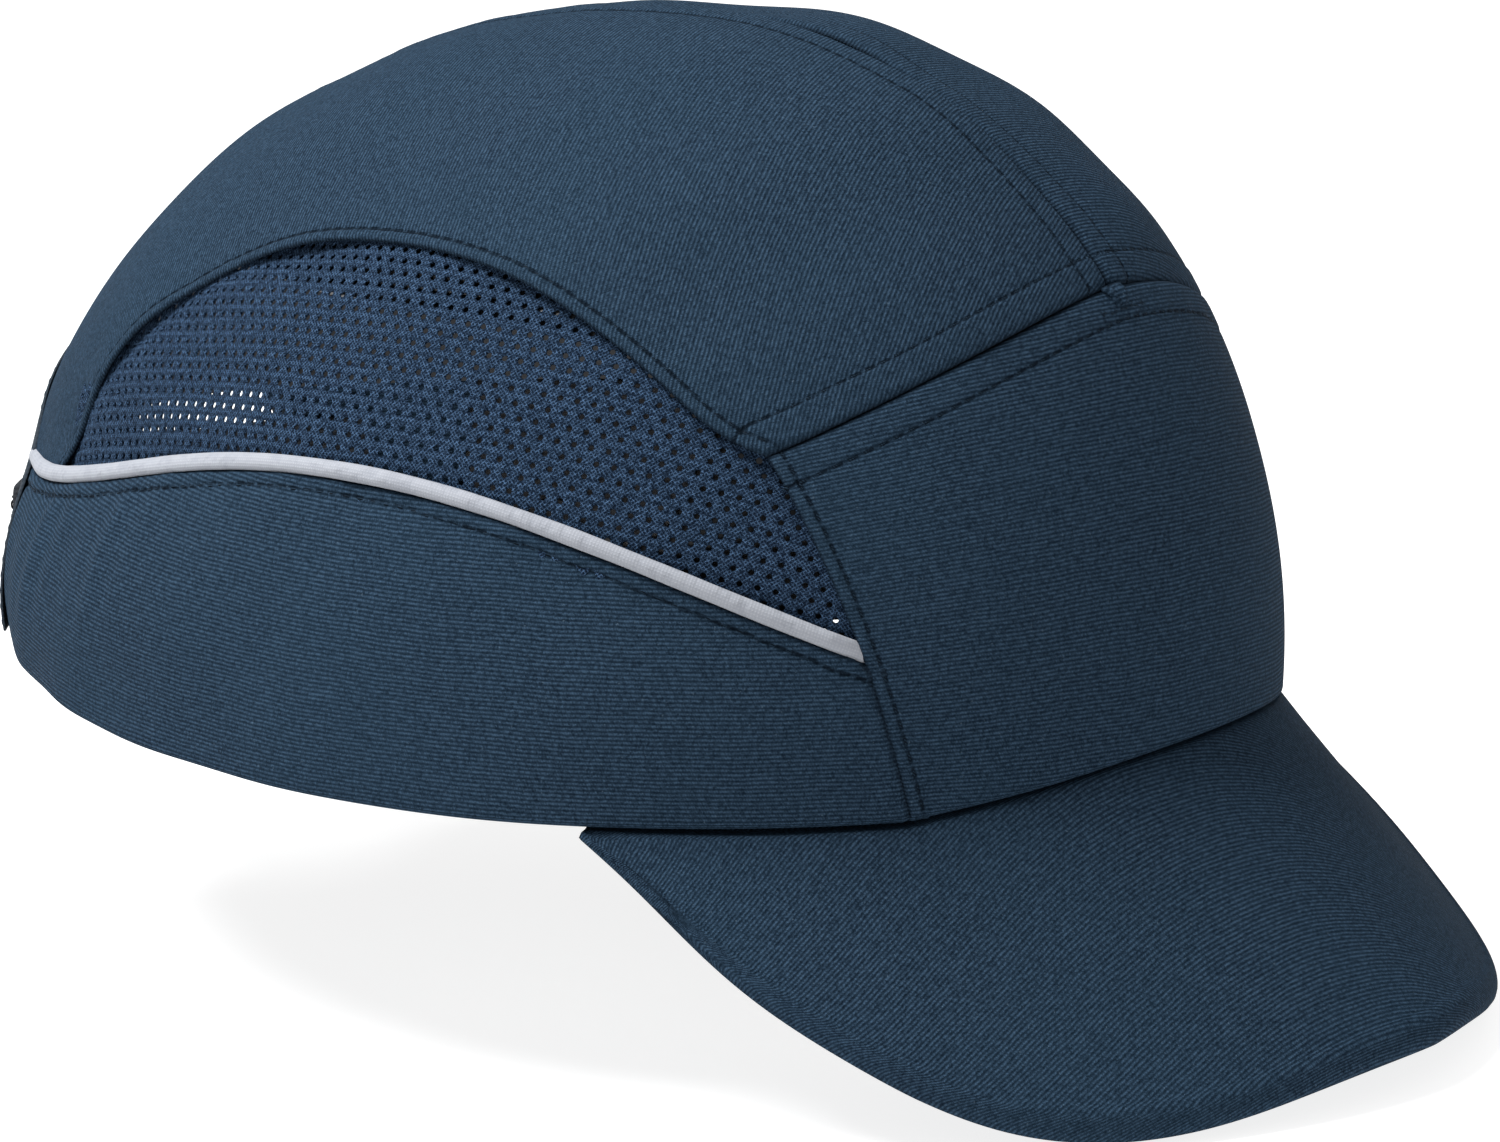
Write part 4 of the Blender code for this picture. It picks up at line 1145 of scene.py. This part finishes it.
arch_full = resample(np.concatenate([ARCH, mirror(ARCH)[::-1][1:]]), 240)
n = skin(arch_full)[1]
away = unit(np.cross(n, unit(np.gradient(arch_full, axis=0))))
opening = arch_full.mean(0) * np.array([0, 1, 0])
if ((arch_full - opening) * away).sum(1).mean() < 0:
    away = -away
# section of the folded tape: out over the cloth, round its cut edge, a short way up the inside
tape_section = [(0.0058, 0.00022), (0.0057, 0.00060), (0.0046, 0.00072), (0.0028, 0.00074),
                (0.0012, 0.00072), (0.0001, 0.00050), (-0.0004, 0.0000), (-0.0004, -0.0007),
                (0.0000, -0.0010), (0.0008, -0.0012), (0.0018, -0.0012), (0.0025, -0.00105),
                (0.0022, -0.00080), (0.0006, -0.00072), (0.0005, 0.0001), (0.0030, 0.00018)]
v, f, uv = strip_net(arch_full, away, n, tape_section)
piece("arch_binding_tape", v, f, TAPE, "binding_tape", nodes=("rear_arch_binding",), uv=uv)
stitches("arch_binding_stitches", [on_crown(arch_full + away * 0.0045)], THREAD, "binding_tape",
         inset=-0.00062)

SEAM_TAPE_HALF, SEAM_TAPE_INSET = 0.006, 0.0017
inner_line = resample(CENTRE[6:-6], 200)
inner_n = skin(inner_line)[1]
tape_x = np.linspace(-SEAM_TAPE_HALF, SEAM_TAPE_HALF, 13)
v, f, uv = strip_net(inner_line - inner_n * SEAM_TAPE_INSET, np.tile([1.0, 0, 0], (200, 1)), inner_n,
                     [(x, 0.0003 + 0.0001 * math.cos(x * 2400)) for x in tape_x]
                     + [(x, -0.0002) for x in np.linspace(SEAM_TAPE_HALF, -SEAM_TAPE_HALF, 13)])
piece("seam_tape_cloth", v, f, TAPE, "binding_tape", nodes=("centre_seam_tape",), uv=uv)

# ------------------------------------------------------------------ sweatband
PASS_PHI = np.linspace(-math.pi, math.pi, 721)
PASS = rim_plan(PASS_PHI, -PASSAGE_INSET + 0 * PASS_PHI)
PASS_TURN = np.arctan2(PASS[:, 0], -PASS[:, 1])
PASS_TURN[0], PASS_TURN[-1] = -math.pi, math.pi
PASS_REACH = np.hypot(PASS[:, 0], PASS[:, 1])


def held_in(p, limit):
    """Pulls points in, in plan, to within the passage moved out by limit."""
    reach = np.hypot(p[..., 0], p[..., 1])
    widest = np.interp(np.arctan2(p[..., 0], -p[..., 1]), PASS_TURN, PASS_REACH) + limit
    k = np.where(reach > widest, widest / reach, 1.0)
    return p * np.stack([k, k, np.ones_like(k)], -1)


def liner_face(phi, theta, inset):
    """The liner's points, set in from the crown and within the passage it comes out by."""
    q = crown(phi, theta) - normal(phi, theta) * np.asarray(inset)[..., None]
    return held_in(q, -(np.asarray(inset) - SHELL_INSET))


SWEATBAND_TOP, SWEATBAND_THICKNESS = 0.0285, 0.0019
SWEATBAND_BACK = 0.0019  # from the crown's outer face to the band's outer face
band_phi = np.radians(np.linspace(-138, 138, 420))
low_edge = 0.0008 + np.where(np.abs(band_phi) < 1.5, front_rise(crown(band_phi, 0 * band_phi)[:, 0]), 0)


def towel_depth(t):
    """The padded inner face: full in the middle, and pinched at its row of stitches."""
    full = 0.35 * math.sin(math.pi * t) * (abs(t - 0.16) > 0.02)
    return 1.0 + full - (0.35 if abs(t - 0.14) < 0.03 else 0)


section = ([(t, 0.0) for t in np.linspace(0.0, 1.0, 15)] + [(1.02, 0.2), (1.03, 0.5), (1.02, 0.8)]
           + [(t, towel_depth(t)) for t in np.linspace(1.0, 0.0, 30)]
           + [(-0.02, 0.8), (-0.03, 0.5), (-0.02, 0.2)])
around = []
for level, depth in section:
    z = low_edge + level * (SWEATBAND_TOP - low_edge)
    th = theta_at(band_phi, np.maximum(z, 0.0002))
    q = crown(band_phi, th) - normal(band_phi, th) * SWEATBAND_BACK
    q = held_in(q, PASSAGE_INSET - SWEATBAND_INSET)
    q[:, 2] = z
    inward = -unit(q * np.array([1, 1, 0]))
    wave = 1 + 0.05 * waves(q, 0.02, 61)
    around.append(q + inward * (SWEATBAND_THICKNESS * depth * wave)[:, None])
around = np.array(around).transpose(1, 0, 2)
piece("sweatband_towel", around, swept_faces(*around.shape[:2]), TOWEL, "sweatband_cloth",
      nodes=("sweatband",))
stitches("sweatband_stitches", [around[:, -11]], THREAD_DARK, "sweatband_cloth", inset=-0.0001,
         pitch=0.0030, face=lambda q: -unit(q * np.array([1, 1, 0])))

# ------------------------------------------------------------------ removable liner
SHELL_LOW, SHELL_THICKNESS, SHELL_COLS = 0.031, 0.0019, 300
# openings: seen from the side or in plan, middle, half sizes, squareness
SHELL_OPENINGS = [("side", 0.008, 0.0555, 0.060, 0.0165, 3.6)]
SHELL_OPENINGS += [("plan", x, y, 0.0036, 0.0115, 3.0) for x in (-0.038, 0.038)
                   for y in (-0.038, -0.002, 0.034)]


def at_corners(cells):
    """The corners that any of the marked cells meets."""
    marked = np.zeros((len(cells) + 1, cells.shape[1]), bool)
    for down in (0, 1):
        for along in (0, 1):
            layer = np.zeros_like(marked)
            layer[down:down + len(cells)] = cells
            marked |= np.roll(layer, along, 1)
    return marked


def dome_shell():
    """The liner's dome with vents cut out, a raised lip round each, and two ribs."""
    cols = SHELL_COLS
    phi = (np.arange(cols) + 0.5) * 2 * math.pi / cols
    rows = np.concatenate([np.radians(np.linspace(14.2, 84, 92)), np.radians([86.5, 88.5])])
    PH, TH = np.meshgrid(phi, rows)
    low = theta_at(phi, SHELL_LOW + 0 * phi)
    t = (TH - rows[0]) / (rows[-1] - rows[0])
    TH = low[None] + (rows[-1] - low[None]) * t
    P = liner_face(PH, TH, SHELL_INSET + 0 * PH)
    keep_cells = np.ones((len(rows) - 1, cols), bool)
    verts = P.copy()
    lip = np.zeros(PH.shape)
    for kind, a0, b0, ha, hb, power in SHELL_OPENINGS:
        ia, ib = (1, 2) if kind == "side" else (0, 1)
        wide = (np.abs(P[..., 0]) > 0.03) if kind == "side" else (P[..., 2] > 0.06)
        A, B = (verts[..., ia] - a0) / ha, (verts[..., ib] - b0) / hb
        level = (np.abs(A) ** power + np.abs(B) ** power) ** (1 / power)
        ahead = np.roll(level, -1, 1)
        cut = ((level[:-1] + level[1:] + ahead[:-1] + ahead[1:]) / 4 < 1) & wide[:-1]
        keep_cells &= ~cut
        edge = at_corners(cut) & at_corners(~cut)
        scale = np.where(edge, 1 / np.maximum(level, 0.2), 1.0)
        verts[..., ia] = np.where(edge, a0 + (verts[..., ia] - a0) * scale, verts[..., ia])
        verts[..., ib] = np.where(edge, b0 + (verts[..., ib] - b0) * scale, verts[..., ib])
        gap = (level - 1) * min(ha, hb)
        lip = np.maximum(lip, 0.0007 * ridge(gap, 0.0016, 0.0012) * wide)
    ribs = 0.0005 * ridge(np.abs(P[..., 0]), 0.0125, 0.0011) * (P[..., 2] > 0.05)
    verts = verts + normal(PH, TH) * (lip + ribs)[..., None]
    quads = net_faces(len(rows), cols, closed=True)
    faces = [f for f, keep in zip(quads, keep_cells.ravel()) if keep]
    flat = verts.reshape(-1, 3)
    top, last_row = len(flat), (len(rows) - 1) * cols
    flat = np.concatenate([flat, [[0, TOP_LEAN, HEIGHT - SHELL_INSET]]])
    faces += [(last_row + i, last_row + (i + 1) % cols, top) for i in range(cols)]
    used = np.unique(np.concatenate([np.array(g) for g in faces]))
    back = np.full(len(flat), -1)
    back[used] = np.arange(len(used))
    return flat[used], [tuple(back[list(g)]) for g in faces]


v, f = dome_shell()
shell = piece("impact_shell_moulded", v, f, HDPE, "shell_hdpe", body="liner",
              nodes=("impact_shell",), thick=SHELL_THICKNESS)
soft = shell.modifiers.new("edge", "BEVEL")
soft.width, soft.segments, soft.limit_method, soft.angle_limit = 0.0004, 2, "ANGLE", math.radians(50)


def made_solid(made, merge=0.0):
    """Joins points closer than merge, and turns every face outward."""
    bm = bmesh.new()
    bm.from_mesh(made.data)
    if merge:
        bmesh.ops.remove_doubles(bm, verts=bm.verts, dist=merge)
    bmesh.ops.recalc_face_normals(bm, faces=bm.faces)
    bm.to_mesh(made.data)
    bm.free()
    return made


def rounded(wave, power):
    """A sine or cosine pulled out toward a rounded square."""
    return np.sign(wave) * np.abs(wave) ** (2 / power)


def foam_pad(name, node, view, a0, b0, ha, hb, power, grooves):
    """Pad with a crowned face, rounded edges and moulded grooves."""
    rho = np.concatenate([np.linspace(0.02, 0.90, 22), np.linspace(0.92, 1.0, 9)])
    ang = np.linspace(0, 2 * math.pi, 120, endpoint=False)
    a = a0 + ha * rho[:, None] * rounded(np.cos(ang), power)[None]
    b = b0 + hb * rho[:, None] * rounded(np.sin(ang), power)[None]
    if view == "plan":
        phi, theta = locate(above(a, b))
    else:
        start = 0.0 if view == "front" else math.pi
        phi = solve(lambda p: crown(p, theta_at(p, b))[..., 0] - np.abs(a),
                    start + 0 * a, math.pi / 2 + 0 * a)
        theta = theta_at(phi, b)
        phi = phi * (np.sign(a) + (a == 0))
    edge = np.clip(1 - rho ** 9, 0, 1) ** 0.5
    full = (PAD_THICKNESS * (0.80 + 0.24 * (1 - rho ** 2)))[:, None] * edge[:, None]
    dip = np.zeros_like(a)
    for g in grooves:
        dip = dip + 0.0011 * ridge(a if view != "plan" else b, g, 0.0011)
    dip = dip * (edge[:, None] > 0.5)
    front = liner_face(phi, theta, PAD_INSET + PAD_GAP + full - dip)
    rear = liner_face(phi, theta, PAD_INSET + PAD_GAP + 0 * full)
    v = np.concatenate([rear, front[::-1]])
    made = piece(name, v, swept_faces(*v.shape[:2]), FOAM, "eva_foam", body="liner", nodes=(node,))
    return made_solid(made, merge=0.00001)


PADS = (  # seen from the front, the rear or in plan: middle, half sizes, squareness, grooves
    ("front", "front", 0.0, 0.0500, 0.040, 0.0150, 3.2, (-0.0133, 0.0133)),
    ("rear", "rear", 0.0, 0.0600, 0.034, 0.0120, 3.2, (-0.0113, 0.0113)),
    ("crown", "plan", 0.0, -0.004, 0.028, 0.042, 2.6, (-0.018, 0.010)),
    ("right", "plan", -0.0530, 0.001, 0.0065, 0.028, 3.2, (-0.0083, 0.0103)),
    ("left", "plan", 0.0530, 0.001, 0.0065, 0.028, 3.2, (-0.0083, 0.0103)),
)
pads = [foam_pad("pad_%s_foam" % pad[0], "pad_" + pad[0], *pad[1:]) for pad in PADS]


# ------------------------------------------------------------------ rear strap
def arc_point(degrees, radius, z):
    """A point on the strap's arc, its angle toward the wearer's right."""
    a = np.radians(degrees)
    return np.stack([-radius * np.sin(a), ARC_CENTRE_Y + radius * np.cos(a), z + 0 * a], -1)


def strap_piece(name, node, body, span, radii, heights, look, slot, nose=(0, 0), ribs=0.0):
    """Strap on the rear arc with rounded edges. nose rounds its ends, in mm of length."""
    mid_r, half_t = sum(radii) / 2, (radii[1] - radii[0]) / 2
    mid_z, half_h = sum(heights) / 2, (heights[1] - heights[0]) / 2
    steps = max(24, int(abs(span[1] - span[0]) / 0.45))
    deg = np.linspace(span[0], span[1], steps)
    run = (deg - span[0]) * math.pi / 180 * mid_r * 1000
    left_over = run[-1] - run
    height = np.ones(steps)
    for gap, round_by in ((run, nose[0]), (left_over, nose[1])):
        if round_by:
            t = np.clip(gap / round_by, 0, 1)
            height = height * np.sqrt(np.clip(1 - (1 - t) ** 2, 0.02, 1))
    a = np.linspace(0, 2 * math.pi, 34, endpoint=False)
    u, w = rounded(np.cos(a), 9.0), rounded(np.sin(a), 5.0)
    z = mid_z + half_h * u[None] * height[:, None]
    ends = np.minimum(1, np.sqrt(np.clip(np.minimum(run, left_over) / 0.35, 0.06, 1)))[:, None]
    r = mid_r + half_t * w[None] * ends
    r = r + ribs * np.sin(run[:, None] * 2 * math.pi / 1.6) * np.sign(w)[None] * (np.abs(w) > 0.5)[None]
    p = arc_point(deg[:, None], r, z)
    uv = np.stack([np.broadcast_to(run[:, None] / 1000, z.shape), z], -1)
    made_solid(piece(name, p, swept_faces(*z.shape), look, slot, body=body, nodes=(node,), uv=uv))


Z_STRAP, Z_TAPE = (0.0030, 0.0230), (0.0045, 0.0215)
R_INNER, R_OUTER = (0.0555, 0.0566), (0.0592, 0.0603)  # the layers of the strap, from the arc's centre
R_LOOP, R_HOOK, R_ANCHOR, R_TAB = (0.0568, 0.0578), (0.0580, 0.0590), (0.0568, 0.0603), (0.0586, 0.0600)
STRAPS = (  # piece, CAD node, body, degrees round the arc, layer, height, look, slot, nose, ribs
    ("loop_strap_webbing", "loop_strap", "cap", (-52.0, 6.0), R_INNER, Z_STRAP,
     WEBBING, "strap_webbing", (0, 9)),
    ("loop_tape_pile", "loop_tape", "cap", (-30.0, 5.0), R_LOOP, Z_TAPE, LOOPS, "loop_pile", (0, 7)),
    ("elastic_band", "elastic_webbing", "strap_end", (24.0, 52.0), R_INNER, Z_STRAP,
     ELASTIC, "elastic_webbing", (0, 0), 0.00012),
    ("anchor_fold", "strap_anchor", "strap_end", (24.0, 30.0), R_ANCHOR, Z_STRAP,
     WEBBING, "strap_webbing"),
    ("hook_strap_webbing", "hook_strap", "strap_flap", (-17.7, 23.6), R_OUTER, Z_STRAP,
     WEBBING, "strap_webbing"),
    ("hook_tape_field", "hook_tape", "strap_flap", (-16.0, 17.0), R_HOOK, Z_TAPE, HOOKS, "hook_tape"),
    ("pull_tab_grip", "pull_tab", "strap_flap", (-25.0, -18.0), R_TAB, Z_STRAP,
     RUBBER, "grip_rubber", (5, 0), 0.00018),
)
for strap in STRAPS:
    strap_piece(*strap)


def strap_out(q):
    """Away from the arc's centre, level."""
    return unit((q - np.array([0, ARC_CENTRE_Y, 0])) * np.array([1, 1, 0]))


def box_rows(name, body, start, end, inset_z, points):
    """A box of stitching through the outer face of the strap."""
    z0, z1 = Z_STRAP[0] + inset_z, Z_STRAP[1] - inset_z
    d = np.linspace(start, end, points)
    upright = np.linspace(z0, z1, 12)
    rows = [arc_point(d, R_OUTER[1], z) for z in (z0, z1)]
    rows += [arc_point(np.full(12, x), R_OUTER[1], upright) for x in (start, end)]
    stitches(name, rows, THREAD_DARK, "strap_webbing", body=body, inset=-0.0001, pitch=0.0020,
             face=strap_out)


box_rows("anchor_stitches", "strap_end", 25.0, 29.2, 0.0026, 12)
box_rows("hook_strap_stitches", "strap_flap", -15.5, 16.5, 0.0022, 40)

# ------------------------------------------------------------------ camera, light and floor
turned, raised, rolled = (math.radians(x) for x in (-54.939, 13.772, -0.308))
CAMERA_AWAY, CAMERA_SIDE, CAMERA_UP = 1.248, 0.01337, 0.01677
back = Vector((math.sin(turned) * math.cos(raised), -math.cos(turned) * math.cos(raised),
               math.sin(raised)))
right = Vector((math.cos(turned), math.sin(turned), 0))
up = back.cross(right)
R = math.cos(rolled) * right + math.sin(rolled) * up
U = -math.sin(rolled) * right + math.cos(rolled) * up
camera = bpy.data.objects.new("camera", bpy.data.cameras.new("camera"))
scene.collection.objects.link(camera)
camera.data.lens, camera.data.sensor_width = 185.36, 36.0
camera.data.clip_start, camera.data.clip_end = 0.05, 20.0
spot = CAMERA_SIDE * R + CAMERA_UP * U + CAMERA_AWAY * back
camera.matrix_world = Matrix(((R.x, U.x, back.x, spot.x), (R.y, U.y, back.y, spot.y),
                              (R.z, U.z, back.z, spot.z), (0, 0, 0, 1)))
scene.camera = camera
scene.view_settings.view_transform = "Standard"

floor_mesh = bpy.data.meshes.new("floor")
bm = bmesh.new()
bmesh.ops.create_circle(bm, cap_ends=True, segments=96, radius=6.0)
bm.to_mesh(floor_mesh)
bm.free()
floor = bpy.data.objects.new("floor", floor_mesh)
scene.collection.objects.link(floor)
floor.location.z = CAD_BOX[0][2] - 0.0015
ground = Look("pale_floor", rough=0.9, specular=0.05, Emission_Strength=0.82,
              Emission_Color=(1.0, 1.0, 1.0, 1.0))
pale = ground.mix(ground.noise(0.4, 2.0), (0.40, 0.40, 0.405), (0.43, 0.43, 0.43))
floor_mesh.materials.append(ground.finish(pale))

world = bpy.data.worlds.new("studio")
scene.world = world
world.use_nodes = True
world.node_tree.nodes["Background"].inputs["Color"].default_value = (1.0, 1.0, 1.0, 1.0)
world.node_tree.nodes["Background"].inputs["Strength"].default_value = 0.50

# one broad lamp: above the cap, to the camera's left and on the camera's side
LAMP_WAY, LAMP_AWAY = R * -0.80 + U * 1.45 + back * 0.50, 1.4
light = bpy.data.lights.new("key", "AREA")
light.shape, light.size, light.energy = "DISK", 0.8, 35.5
key = bpy.data.objects.new("key", light)
scene.collection.objects.link(key)
way = LAMP_WAY.normalized()
key.location = way * LAMP_AWAY + Vector((0, 0, 0.04))
key.rotation_euler = way.to_track_quat("Z", "Y").to_euler()
